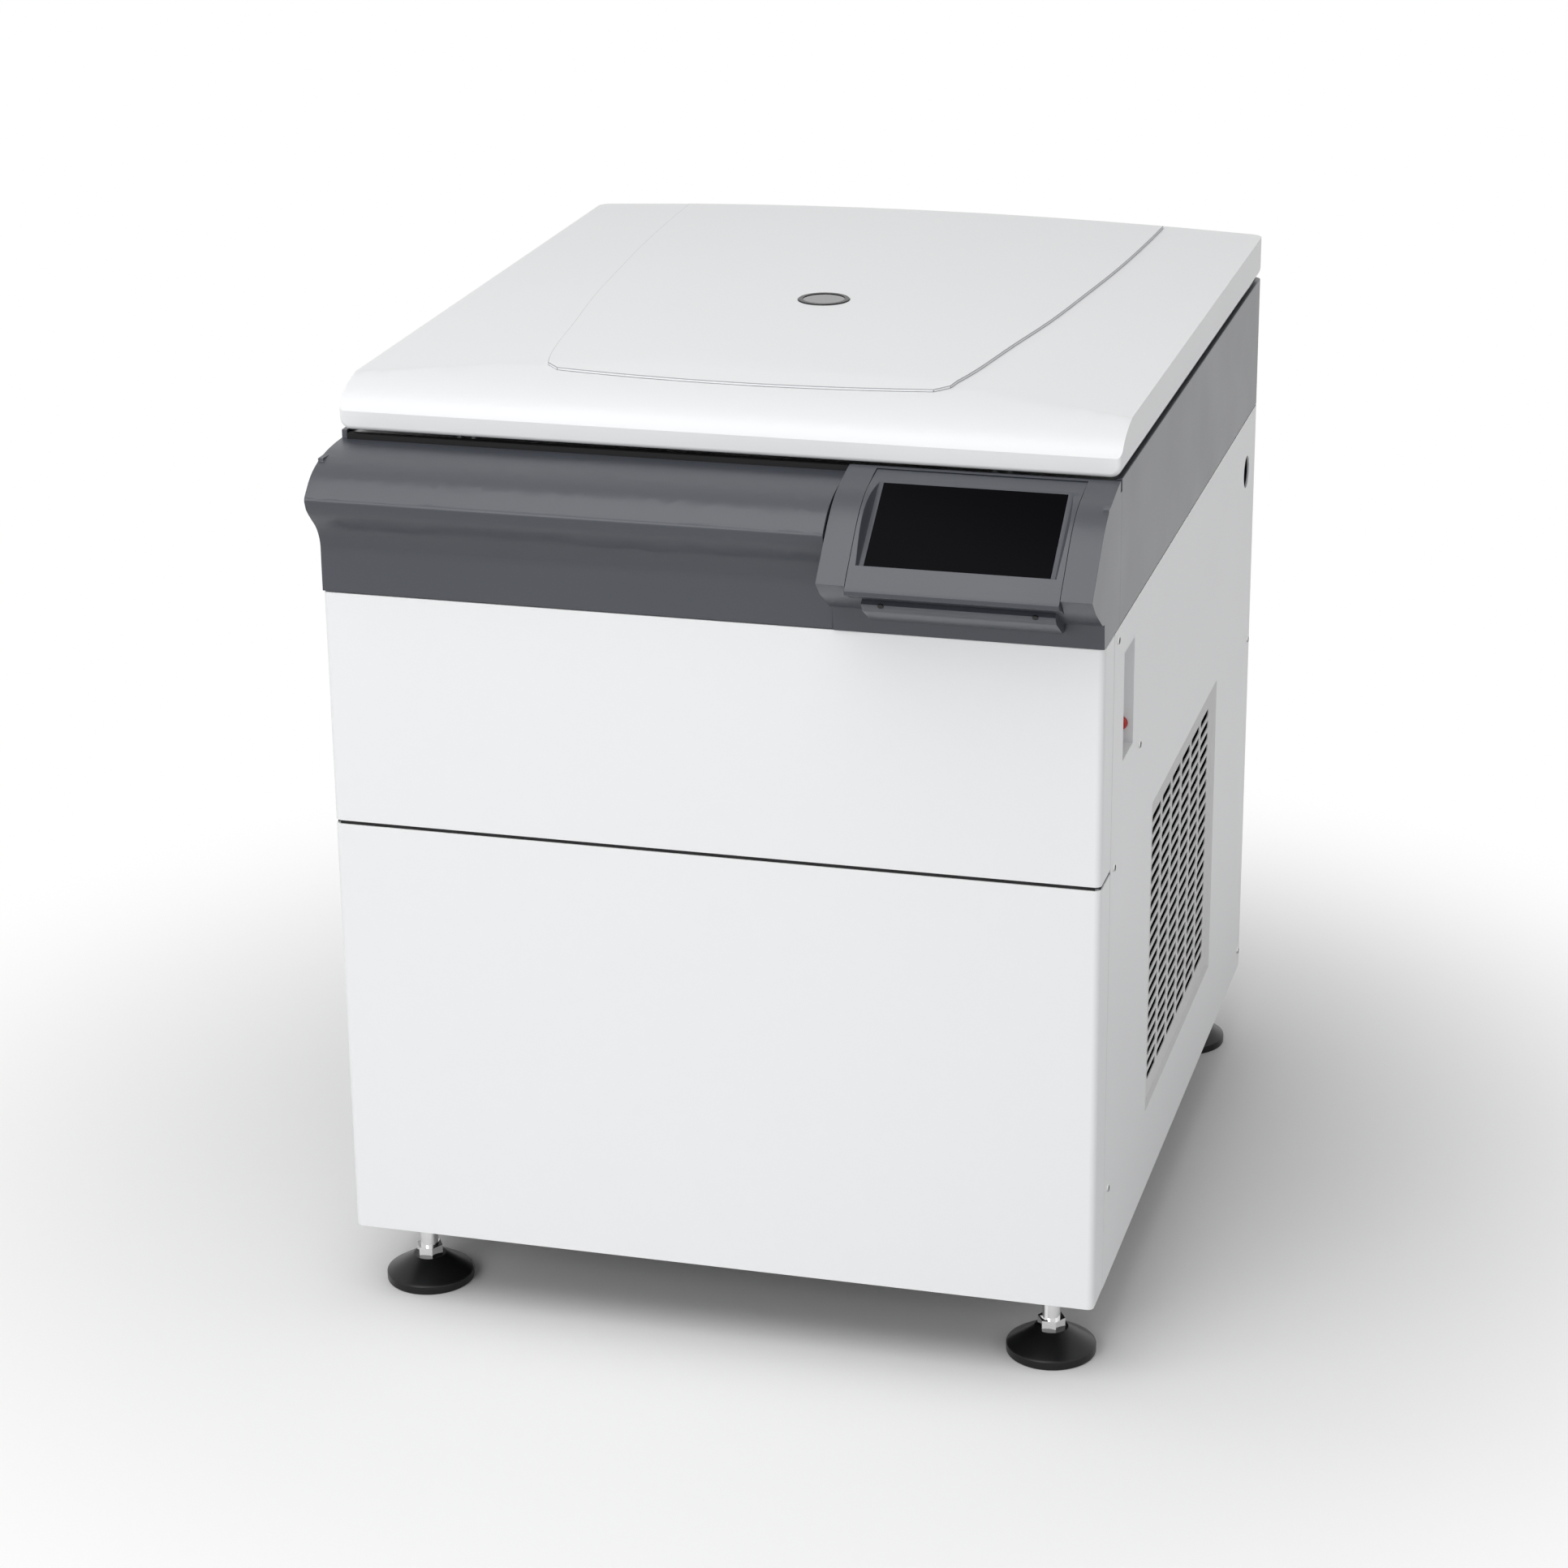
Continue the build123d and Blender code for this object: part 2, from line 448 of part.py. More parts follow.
# Deck: the steel plate round the chamber, with slots for the latches and the gas spring
LATCH_X, LATCH_BACK = HALF - 105, 96.0
SPRING_X = HALF - 64
SPRING_FOOT_BACK, SPRING_FOOT_Z = DEPTH - 145, 480.0
SPRING_EYE_BACK = 88.0                              # in front of the hinge axis
SPRING_EYE_Z = DECK_TOP
deck_y0, deck_y1 = behind(LID_FRONT + 6), behind(DEPTH - COLLAR_WALL - CLEAR)
eye_y = HINGE_Y - SPRING_EYE_BACK
with BuildPart() as deck:
    block(-HALF + COLLAR_WALL + CLEAR, HALF - COLLAR_WALL - CLEAR, deck_y0, deck_y1, DECK_TOP - DECK_T, DECK_TOP)
    rod(0, AXIS_Y, DECK_TOP - 10, DECK_TOP + 1, BOWL_R + BOWL_WALL + 0.2, mode=Mode.SUBTRACT)
    for side in (-1, 1):
        block(side * LATCH_X - 14, side * LATCH_X + 14, behind(LATCH_BACK - 16), behind(LATCH_BACK + 26),
              DECK_TOP - 10, DECK_TOP + 1, mode=Mode.SUBTRACT)
    block(SPRING_X - 14, SPRING_X + 16, eye_y - 16, eye_y + 50, DECK_TOP - 10, DECK_TOP + 1, mode=Mode.SUBTRACT)
save(deck, "deck")

# Chamber bowl, spun from sheet, with a rolled flange on the deck
with BuildPart() as chamber_bowl:
    rise_x, rise_z = BOWL_R - BOWL_CORNER_R, BOWL_FLOOR + BOWL_CORNER_R
    with BuildSketch(Plane.XZ.offset(-AXIS_Y)):
        with BuildLine():
            Line((NECK_R, BOWL_FLOOR - BOWL_WALL), (rise_x, BOWL_FLOOR - BOWL_WALL))
            CenterArc((rise_x, rise_z), BOWL_CORNER_R + BOWL_WALL, -90, 90)
            Polyline((BOWL_R + BOWL_WALL, rise_z), (BOWL_R + BOWL_WALL, DECK_TOP), (BOWL_R + BOWL_FLANGE, DECK_TOP),
                     (BOWL_R + BOWL_FLANGE, DECK_TOP + BOWL_WALL), (BOWL_R, DECK_TOP + BOWL_WALL), (BOWL_R, rise_z))
            CenterArc((rise_x, rise_z), BOWL_CORNER_R, 0, -90)
            Polyline((rise_x, BOWL_FLOOR), (NECK_R, BOWL_FLOOR), (NECK_R, BOWL_FLOOR - BOWL_WALL))
        make_face()
    revolve(axis=Axis((0, AXIS_Y, 0), (0, 0, 1)))
save(chamber_bowl, "chamber_bowl")

with BuildPart() as chamber_gasket:
    gasket_z = DECK_TOP + BOWL_WALL
    with BuildSketch(Plane.XZ.offset(-AXIS_Y)):
        with BuildLine():
            Polyline((BOWL_R + 4, gasket_z), (BOWL_R + 22, gasket_z), (BOWL_R + 22, gasket_z + 4),
                     (BOWL_R + 16, LINER_Z - CLEAR), (BOWL_R + 10, LINER_Z - CLEAR), (BOWL_R + 4, gasket_z + 4),
                     close=True)
        make_face()
    revolve(axis=Axis((0, AXIS_Y, 0), (0, 0, 1)))
save(chamber_gasket, "chamber_gasket")

# Evaporator jacket on the bowl, foam round it and a steel guard ring round both
JACKET_R0, JACKET_R1 = BOWL_R + BOWL_WALL + CLEAR, BOWL_R + BOWL_WALL + CLEAR + JACKET_T
jacket_z0, jacket_z1 = BOWL_FLOOR + 40, DECK_TOP - 60
with BuildPart() as evaporator_jacket:
    rod(0, AXIS_Y, jacket_z0, jacket_z1, JACKET_R1)
    rod(0, AXIS_Y, jacket_z0 - 1, jacket_z1 + 1, JACKET_R0, mode=Mode.SUBTRACT)
save(evaporator_jacket, "evaporator_jacket")

with BuildPart() as insulation:
    foam_r = GUARD_R - CLEAR
    rod(0, AXIS_Y, BOWL_FLOOR - 24, DECK_TOP - DECK_T - CLEAR, foam_r)
    rod(0, AXIS_Y, BOWL_FLOOR - BOWL_WALL - CLEAR, DECK_TOP, JACKET_R1 + CLEAR, mode=Mode.SUBTRACT)
    rod(0, AXIS_Y, BOWL_FLOOR - 30, BOWL_FLOOR + 1, NECK_R + 6, mode=Mode.SUBTRACT)
save(insulation, "insulation")

with BuildPart() as guard_ring:
    rod(0, AXIS_Y, BOWL_FLOOR - 24, DECK_TOP - DECK_T - CLEAR, GUARD_R + GUARD_WALL)
    rod(0, AXIS_Y, BOWL_FLOOR - 25, DECK_TOP, GUARD_R, mode=Mode.SUBTRACT)
save(guard_ring, "guard_ring")

# Motor on four rubber mounts, its boot in the bowl's neck, and the spindle
flange_z = BEARER_Z + BEARER_H + MOUNT_H
with BuildPart() as motor_body:
    rod(0, AXIS_Y, MOTOR_Z0, MOTOR_Z1, MOTOR_R)
    block(-BEARER_X - 20, BEARER_X + 20, AXIS_Y - MOTOR_PLATE_Y, AXIS_Y + MOTOR_PLATE_Y, flange_z,
          flange_z + MOTOR_PLATE_T)
    rod(0, AXIS_Y, MOTOR_Z0 - 12, MOTOR_Z0, MOTOR_R * 0.6)
    rod(0, AXIS_Y, MOTOR_Z0 + 20, MOTOR_Z1 + 1, SPINDLE_R + RUN, mode=Mode.SUBTRACT)
    fins = 16
    with Locations((0, AXIS_Y, (flange_z + MOTOR_Z0) / 2)):
        with PolarLocations(MOTOR_R + 3, fins):
            Box(10, 4, flange_z - MOTOR_Z0 - 20)
save(motor_body, "motor_body")

with BuildPart() as motor_mounts:
    with Locations((0, AXIS_Y, BEARER_Z + BEARER_H)):
        with GridLocations(2 * BEARER_X, 2 * MOUNT_Y, 2, 2):
            Cylinder(MOUNT_R, MOUNT_H, align=(Align.CENTER, Align.CENTER, Align.MIN))
save(motor_mounts, "motor_mounts")

with BuildPart() as motor_boot:
    with BuildSketch(Plane.XZ.offset(-AXIS_Y)):
        with BuildLine():
            Polyline((SPINDLE_R + 2, BOWL_FLOOR + 22), (SPINDLE_R + 8, BOWL_FLOOR + 22), (NECK_R - 2, BOWL_FLOOR + 6),
                     (NECK_R + 12, BOWL_FLOOR + 6), (NECK_R + 12, BOWL_FLOOR), (NECK_R, BOWL_FLOOR),
                     (NECK_R, BOWL_FLOOR - 20), (NECK_R - 5, BOWL_FLOOR - 20), (NECK_R - 8, BOWL_FLOOR + 2),
                     (SPINDLE_R + 2, BOWL_FLOOR + 16), close=True)
        make_face()
    revolve(axis=Axis((0, AXIS_Y, 0), (0, 0, 1)))
save(motor_boot, "motor_boot")

YOKE_Z0 = PIN_Z - YOKE_T / 2
HUB_R, HUB_H = 38.0, 30.0
TAPER_TOP_R = 12.0
with BuildPart() as spindle:
    rod(0, AXIS_Y, MOTOR_Z0 + 21, YOKE_Z0 - 6, SPINDLE_R)
    with BuildSketch(Plane.XY.offset(YOKE_Z0 - 6)):
        with Locations((0, AXIS_Y)):
            Circle(SPINDLE_R)
    with BuildSketch(Plane.XY.offset(PIN_Z + YOKE_T / 2 + 4)):
        with Locations((0, AXIS_Y)):
            Circle(TAPER_TOP_R)
    loft()
    rod(0, AXIS_Y, PIN_Z + YOKE_T / 2 + 4, PIN_Z + YOKE_T / 2 + HUB_H - 2, 8)
save(spindle, "spindle")

# Swing-out yoke: a disc with a notch for each bucket and two pins in every notch
with BuildPart() as rotor_yoke:
    rod(0, AXIS_Y, YOKE_Z0, PIN_Z + YOKE_T / 2, YOKE_R)
    with Locations((0, AXIS_Y, PIN_Z)):
        with PolarLocations(NOTCH_INNER + YOKE_R / 2, BUCKETS):
            Box(YOKE_R, 2 * NOTCH_HALF, YOKE_T + 2, mode=Mode.SUBTRACT)
    chamfer(rotor_yoke.edges().group_by(Axis.Z)[-1], 3)
    rod(0, AXIS_Y, YOKE_Z0 - 6, PIN_Z + YOKE_T / 2 + 4, HUB_R)
    with BuildSketch(Plane.XY.offset(YOKE_Z0 - 6)):
        with Locations((0, AXIS_Y)):
            Circle(SPINDLE_R + RUN)
    with BuildSketch(Plane.XY.offset(PIN_Z + YOKE_T / 2 + 4)):
        with Locations((0, AXIS_Y)):
            Circle(TAPER_TOP_R + RUN)
    loft(mode=Mode.SUBTRACT)
    for number in range(BUCKETS):
        angle = radians(360 / BUCKETS * number)
        out, along = Vector(cos(angle), sin(angle), 0), Vector(-sin(angle), cos(angle), 0)
        for hand in (-1, 1):
            root = Vector(0, AXIS_Y, PIN_Z) + out * PIN_CIRCLE_R + along * (hand * (NOTCH_HALF + 2))
            with BuildSketch(Plane(origin=root, z_dir=along * -hand)):
                Circle(PIN_R)
            extrude(amount=9)
save(rotor_yoke, "rotor_yoke")

with BuildPart() as rotor_nut:
    nut_z = PIN_Z + YOKE_T / 2 + 4
    rod(0, AXIS_Y, nut_z, nut_z + 8, 26)
    with BuildSketch(Plane.XY.offset(nut_z + 8)):
        with Locations((0, AXIS_Y)):
            RegularPolygon(18, 6)
    extrude(amount=HUB_H - 8)
    fillet(rotor_nut.edges().group_by(Axis.Z)[-1], 2)
    rod(0, AXIS_Y, nut_z - 1, nut_z + HUB_H - 5, 8 + RUN, mode=Mode.SUBTRACT)
save(rotor_nut, "rotor_nut")

# Buckets: spun cups with two flat lugs that hang on the yoke's pins
LUG_W = 34.0
for number in range(BUCKETS):
    angle = 360 / BUCKETS * number
    turn = radians(angle)
    cx, cy = PIN_CIRCLE_R * cos(turn), AXIS_Y + PIN_CIRCLE_R * sin(turn)
    z0, z1 = PIN_Z - BUCKET_BELOW, PIN_Z + BUCKET_ABOVE
    with BuildPart() as bucket:
        rod(cx, cy, z0, z1, BUCKET_R)
        fillet(bucket.edges().group_by(Axis.Z)[0], 8)
        with Locations(Location((cx, cy, PIN_Z), (0, 0, angle))):
            Box(LUG_W, 2 * LUG_FACE, LUG_W)
        rod(cx, cy, z0 + BUCKET_WALL, z1 + LUG_W, BUCKET_R - BUCKET_WALL, mode=Mode.SUBTRACT)
        for hand in (-1, 1):
            along = Vector(-sin(turn), cos(turn), 0) * hand
            face = Vector(cx, cy, PIN_Z) + along * (LUG_FACE + 1)
            with BuildSketch(Plane(origin=face, z_dir=along * -1)):
                Circle(PIN_R + RUN)
            extrude(amount=7, mode=Mode.SUBTRACT)
    save(bucket, f"bucket_{number + 1}")

# Refrigeration: compressor on the left, condenser and fan behind the right grille
with BuildPart() as compressor:
    comp_x, comp_y = -HALF + COMPRESSOR_R + 47, behind(190 + COMPRESSOR_R)
    comp_z = PAN_Z + PAN_T
    rod(comp_x, comp_y, comp_z + 14, comp_z + COMPRESSOR_H, COMPRESSOR_R)
    fillet(compressor.edges().group_by(Axis.Z)[-1], 36)
    fillet(compressor.edges().group_by(Axis.Z)[0], 20)
    rod(comp_x, comp_y, comp_z + 90, comp_z + 96, COMPRESSOR_R + 4)
    block(comp_x - 58, comp_x + 58, comp_y - 82, comp_y + 82, comp_z + 10, comp_z + 16)
    for dx in (-46, 46):
        for dy in (-72, 72):
            rod(comp_x + dx, comp_y + dy, comp_z, comp_z + 10, 12)
save(compressor, "compressor")

COND_X1 = HALF - VENT_DEPTH - 12
COND_X0 = COND_X1 - CONDENSER_T
fan_y = behind(FAN_BACK)
shroud_half_y, shroud_half_z = 150.0, 145.0
with BuildPart() as condenser:
    fins = 12
    for fin in range(fins):
        y = fan_y + (fin - (fins - 1) / 2) * (2 * shroud_half_y - 10) / (fins - 1)
        block(COND_X0, COND_X1, y - 1.5, y + 1.5, FAN_Z - shroud_half_z, FAN_Z + shroud_half_z)
    for z in (FAN_Z - shroud_half_z, FAN_Z + shroud_half_z - 4):
        block(COND_X0, COND_X1, fan_y - shroud_half_y, fan_y + shroud_half_y, z, z + 4)
    block(COND_X0 - 30, COND_X0, fan_y - shroud_half_y, fan_y + shroud_half_y, FAN_Z - shroud_half_z,
          FAN_Z + shroud_half_z)
    block(COND_X0 - 26, COND_X0 + 1, fan_y - shroud_half_y + 4, fan_y + shroud_half_y - 4,
          FAN_Z - shroud_half_z + 4, FAN_Z + shroud_half_z - 4, mode=Mode.SUBTRACT)
    cross_rod(COND_X0 - 31, COND_X0 - 20, fan_y, FAN_Z, FAN_R + 4, mode=Mode.SUBTRACT)
    cross_rod(COND_X0 - 70, COND_X0 - 34, fan_y, FAN_Z, FAN_HUB_R)
    cross_rod(COND_X0 - 40, COND_X0 - 14, fan_y, FAN_Z, 4)
    block(COND_X0 - 34, COND_X0 - 30, fan_y - shroud_half_y, fan_y + shroud_half_y, FAN_Z - 10, FAN_Z + 10)
    block(COND_X0 - 36, COND_X0 - 34, fan_y - 20, fan_y + 20, FAN_Z - 12, FAN_Z + 12)
    for y in (fan_y - shroud_half_y + 8, fan_y + shroud_half_y - 8):
        block(COND_X0, COND_X1, y - 8, y + 8, PAN_Z + PAN_T + POST, FAN_Z - shroud_half_z)
save(condenser, "condenser")

with BuildPart() as fan:
    cross_rod(COND_X0 - 28, COND_X0 - 28 + FAN_W, fan_y, FAN_Z, FAN_HUB_R - 4)
    hub_plane = Plane(origin=(COND_X0 - 28 + FAN_W / 2, fan_y, FAN_Z), x_dir=(0, 0, 1), z_dir=(1, 0, 0))
    with Locations(hub_plane.location):
        with PolarLocations((FAN_R + FAN_HUB_R - 8) / 2, FAN_BLADES):
            with Locations(Location((0, 0, 0), (24, 0, 0))):
                Box(FAN_R - FAN_HUB_R + 8, 34, 2)
    cross_rod(COND_X0 - 60, COND_X0 + 20, fan_y, FAN_Z, 4 + RUN, mode=Mode.SUBTRACT)
save(fan, "fan")

with BuildPart() as inverter_drive:
    inv_x, inv_y, inv_z = 150 - HALF, behind(DEPTH - 190), PAN_Z + PAN_T
    block(inv_x - 95, inv_x + 95, inv_y - 80, inv_y + 80, inv_z, inv_z + 110)
    for rib in range(12):
        x = inv_x - 88 + rib * 16
        block(x - 1.5, x + 1.5, inv_y - 80, inv_y + 80, inv_z + 110, inv_z + 130)
save(inverter_drive, "inverter_drive")

# Hinge: lugs on the deck with their pins, and arms on the lid
LUG_X, LUG_T, HINGE_PIN_R, EYE_R = HALF - 28, 8.0, 5.0, 8.0
with BuildPart() as hinge_lugs:
    for side in (-1, 1):
        with BuildSketch(Plane.YZ.offset(side * LUG_X - LUG_T / 2)):
            with BuildLine():
                Polyline((HINGE_Y - 50, DECK_TOP), (HINGE_Y - 26, DECK_TOP), (HINGE_Y + 2.5, HINGE_Z - 7.5),
                         (HINGE_Y - 3, HINGE_Z + 7.4), close=True)
            make_face()
            with Locations((HINGE_Y, HINGE_Z)):
                Circle(EYE_R)
        extrude(amount=LUG_T)
        inner = side * (LUG_X - LUG_T / 2)
        cross_rod(min(inner, inner - side * 10), max(inner, inner - side * 10), HINGE_Y, HINGE_Z, HINGE_PIN_R)
save(hinge_lugs, "hinge_lugs")

ARM_T = 7.0
LINER_TOP = LINER_Z + LINER_T
LINER_BACK = HINGE_Y - 53
EYE_PLATE_T = 4.0
with BuildPart() as hinge_arms:
    for side in (-1, 1):
        inner = side * (LUG_X - LUG_T / 2 - CLEAR)
        with BuildSketch(Plane.YZ.offset(min(inner, inner - side * ARM_T))):
            with BuildLine():
                Polyline((HINGE_Y - 92, LINER_TOP), (HINGE_Y - 52, LINER_TOP), (HINGE_Y - 48, LINER_TOP - 4),
                         (HINGE_Y, HINGE_Z - EYE_R), (HINGE_Y, HINGE_Z + EYE_R), (HINGE_Y - 92, HINGE_Z + EYE_R),
                         close=True)
            make_face()
            with Locations((HINGE_Y, HINGE_Z)):
                Circle(EYE_R)
                Circle(HINGE_PIN_R + RUN, mode=Mode.SUBTRACT)
        extrude(amount=ARM_T)
save(hinge_arms, "hinge_arms")

# Gas spring: a cylinder pinned in the cabinet and a rod whose eye lies beside the lid's bracket
foot_y = behind(SPRING_FOOT_BACK)
lean = atan2(eye_y - foot_y, SPRING_EYE_Z - SPRING_FOOT_Z)
SPRING_LEN = hypot(eye_y - foot_y, SPRING_EYE_Z - SPRING_FOOT_Z)
SPRING_DIR = Vector(0, sin(lean), cos(lean))
SPRING_FOOT = Vector(SPRING_X, foot_y, SPRING_FOOT_Z)
TUBE_R, TUBE_L, PISTON_ROD_R, SPRING_EYE_R, SPRING_EYE_T = 9.0, 210.0, 4.0, 7.0, 8.0
spring_plane = Plane(origin=SPRING_FOOT, x_dir=(1, 0, 0), z_dir=SPRING_DIR)
with BuildPart() as spring_tube:
    with BuildSketch(spring_plane.offset(10)):
        Circle(TUBE_R)
    extrude(amount=TUBE_L)
    with BuildSketch(spring_plane.offset(22)):
        Circle(PISTON_ROD_R + RUN)
    extrude(amount=TUBE_L, mode=Mode.SUBTRACT)
    cross_rod(SPRING_X - SPRING_EYE_T / 2, SPRING_X + SPRING_EYE_T / 2, foot_y, SPRING_FOOT_Z, SPRING_EYE_R + 4)
    cross_rod(SPRING_X - 10, SPRING_X + 10, foot_y, SPRING_FOOT_Z, 5 + RUN, mode=Mode.SUBTRACT)
save(spring_tube, "spring_tube")

with BuildPart() as spring_rod:
    with BuildSketch(spring_plane.offset(34)):
        Circle(PISTON_ROD_R)
    extrude(amount=SPRING_LEN - 34 - 2)
    cross_rod(SPRING_X - SPRING_EYE_T / 2, SPRING_X + SPRING_EYE_T / 2, eye_y, SPRING_EYE_Z, SPRING_EYE_R)
save(spring_rod, "spring_rod")

# The spring's lower pin stands on a bracket on the cabinet's right post
with BuildPart() as spring_bracket:
    bracket_x = SPRING_X + SPRING_EYE_T / 2 + CLEAR
    block(bracket_x, bracket_x + 4, foot_y - 14, FRAME_Y1 - POST, SPRING_FOOT_Z - 14, SPRING_FOOT_Z + 7)
    block(bracket_x, FRAME_X, FRAME_Y1 - POST - 4, FRAME_Y1 - POST, SPRING_FOOT_Z - 14, SPRING_FOOT_Z + 7)
    cross_rod(SPRING_X - 5, bracket_x + 1, foot_y, SPRING_FOOT_Z, 5)
save(spring_bracket, "spring_bracket")

# Latches: housings under the deck, hooks that turn, and strikers on the lid
HOOK_PIN_Z = DECK_TOP - 34
HOOK_T = 6.0
STRIKE_Z = DECK_TOP - 12
latch_y = behind(LATCH_BACK)
with BuildPart() as latch_housings:
    for side in (-1, 1):
        x = side * LATCH_X
        block(x - 13, x + 13, latch_y - 15, latch_y + 26, HOOK_PIN_Z - 16, DECK_TOP - DECK_T)
        block(x - 9, x + 9, latch_y - 16, latch_y + 22, HOOK_PIN_Z - 12, DECK_TOP, mode=Mode.SUBTRACT)
        cross_rod(x - 10, x + 10, latch_y + 10, HOOK_PIN_Z, 4)
save(latch_housings, "latch_housings")

for side, name in ((-1, "latch_hook_left"), (1, "latch_hook_right")):
    with BuildPart() as hook:
        x = side * LATCH_X
        with BuildSketch(Plane.YZ.offset(x - HOOK_T / 2)):
            with BuildLine():
                Polyline((latch_y + 3, HOOK_PIN_Z), (latch_y + 17, HOOK_PIN_Z), (latch_y + 17, STRIKE_Z + 14),
                         (latch_y + 2, STRIKE_Z + 14), (latch_y + 2, STRIKE_Z + 8), (latch_y + 10, STRIKE_Z + 8),
                         (latch_y + 8, STRIKE_Z - 4), close=True)
            make_face()
            with Locations((latch_y + 10, HOOK_PIN_Z)):
                Circle(8)
                Circle(4 + RUN, mode=Mode.SUBTRACT)
        extrude(amount=HOOK_T)
    save(hook, name)

with BuildPart() as lid_strikers:
    for side in (-1, 1):
        x = side * LATCH_X
        for hand in (-1, 1):
            block(x + hand * 5, x + hand * 8, latch_y - 11, latch_y - 3, STRIKE_Z - 4, LINER_Z)
        cross_rod(x - 7, x + 7, latch_y - 7, STRIKE_Z, 3)
        block(x - 12, x + 12, latch_y - 14, latch_y, LINER_Z - 3, LINER_Z)
    block(SPRING_X + SPRING_EYE_T / 2 + CLEAR, SPRING_X + SPRING_EYE_T / 2 + CLEAR + EYE_PLATE_T,
          eye_y - 9, eye_y + 9, SPRING_EYE_Z - 8, LINER_Z)
    block(SPRING_X + SPRING_EYE_T / 2 + CLEAR, SPRING_X + 22, eye_y - 9, eye_y + 9, LINER_Z - 3, LINER_Z)
save(lid_strikers, "lid_strikers")

# Lid: a shell with a round crown and a front that slopes down
LID_SLOPE = [(-1, 14), (2, 20), (9, 27), (23, 34), (73, 44), (143, 50), (220, 56)]
CROWN_R = (HALF ** 2 + LID_CROWN ** 2) / (2 * LID_CROWN)
CROWN_Z = SKIRT_Z + LID_EDGE_H + LID_CROWN


def crowned_block(inset=0.0, lift=0.0):
    """The lid's outer form, or the hollow inside it when inset is set."""
    front, rear = behind(LID_FRONT + inset), behind(DEPTH - inset)
    top = CROWN_Z - inset + lift
    with BuildPart() as body:
        block(inset - HALF, HALF - inset, front, rear, SKIRT_Z - (20 if inset else 0), top + 20)
        if not inset:
            fillet(body.edges().filter_by(Axis.X).group_by(Axis.Z)[0].sort_by(Axis.Y)[-1], HINGE_R)
        uprights = body.edges().filter_by(Axis.Z)
        fillet(uprights.group_by(Axis.Y)[-1], CORNER_R)
        fillet(body.edges().filter_by(Axis.Z).group_by(Axis.Y)[0], LID_FRONT_R)
        with Locations(Location((0, (front + rear) / 2, top - CROWN_R), (90, 0, 0))):
            Cylinder(CROWN_R, 2 * DEPTH, mode=Mode.INTERSECT)
        with BuildSketch(Plane.YZ.offset(-WIDTH)):
            slope = [(front + back, SKIRT_Z + height - inset + lift) for back, height in LID_SLOPE]
            with BuildLine():
                Spline(slope)
                Polyline(slope[-1], (slope[-1][0], top + 40), (slope[0][0] - 20, top + 40),
                         (slope[0][0] - 20, slope[0][1]), slope[0])
            make_face()
        extrude(amount=2 * WIDTH, mode=Mode.SUBTRACT)
    return body.part


with BuildPart() as lid_shell:
    add(crowned_block())
    add(crowned_block(LID_WALL), mode=Mode.SUBTRACT)
    rod(0, AXIS_Y, SKIRT_Z, SKIRT_Z + 80, WINDOW_R + 0.2, mode=Mode.SUBTRACT)
save(lid_shell, "lid_shell")

# Raised centre panel, open towards the rear
PANEL_SIDE = [(178, 140), (186, 178), (199, 275), (213, 375), (223, 475), (232, 575), (238.5, 675), (243, 790)]
PANEL_FRONT, PANEL_BOW = 129.0, 10.0
with BuildPart() as lid_panel:
    with BuildSketch(Plane.XY.offset(SKIRT_Z)) as panel_plan:
        right = [(half, behind(back)) for half, back in PANEL_SIDE]
        left = [(-half, y) for half, y in right]
        corner = PANEL_SIDE[0][0] - 12
        with BuildLine():
            Spline(right)
            Line(right[-1], left[-1])
            Spline(left)
            Line(left[0], (-corner, behind(PANEL_FRONT)))
            ThreePointArc((-corner, behind(PANEL_FRONT)), (0, behind(PANEL_FRONT - PANEL_BOW)),
                          (corner, behind(PANEL_FRONT)))
            Line((corner, behind(PANEL_FRONT)), right[0])
        make_face()
    extrude(amount=100)
    add(crowned_block(lift=PANEL_RAISE), mode=Mode.INTERSECT)
    add(crowned_block(), mode=Mode.SUBTRACT)
    rod(0, AXIS_Y, SKIRT_Z, SKIRT_Z + 100, RING_R + 0.1, mode=Mode.SUBTRACT)
save(lid_panel, "lid_panel")

with BuildPart() as window_ring:
    rod(0, AXIS_Y, CROWN_Z + 0.3, CROWN_Z + PANEL_RAISE + 1.0, RING_R)
    fillet(window_ring.edges().group_by(Axis.Z)[-1], 0.8)
    rod(0, AXIS_Y, CROWN_Z - 20, CROWN_Z + 20, WINDOW_R + 0.2, mode=Mode.SUBTRACT)
save(window_ring, "window_ring")

with BuildPart() as window_glass:
    rod(0, AXIS_Y, CROWN_Z + PANEL_RAISE + 0.4 - WINDOW_T, CROWN_Z + PANEL_RAISE + 0.4, WINDOW_R)
save(window_glass, "window_glass")

# Inner liner with its thick insulated plug over the chamber
LINER_FOAM = 22.0
with BuildPart() as lid_liner:
    block(-HALF + 10, HALF - 10, behind(LID_FRONT + 8), LINER_BACK, LINER_Z, LINER_TOP)
    fillet(lid_liner.edges().filter_by(Axis.Z), 12)
    rod(0, AXIS_Y, DECK_TOP + 6, LINER_Z, BOWL_R - 8)
    rod(0, AXIS_Y, LINER_TOP, LINER_TOP + LINER_FOAM, BOWL_R - 8)
    rod(0, AXIS_Y, DECK_TOP, CROWN_Z, WINDOW_R + 1, mode=Mode.SUBTRACT)
    for side in (-1, 1):
        block(side * (HALF - LID_WALL - 1), side * (HALF - 12), behind(140), behind(DEPTH - 140), LINER_Z, LINER_TOP)
save(lid_liner, "lid_liner")

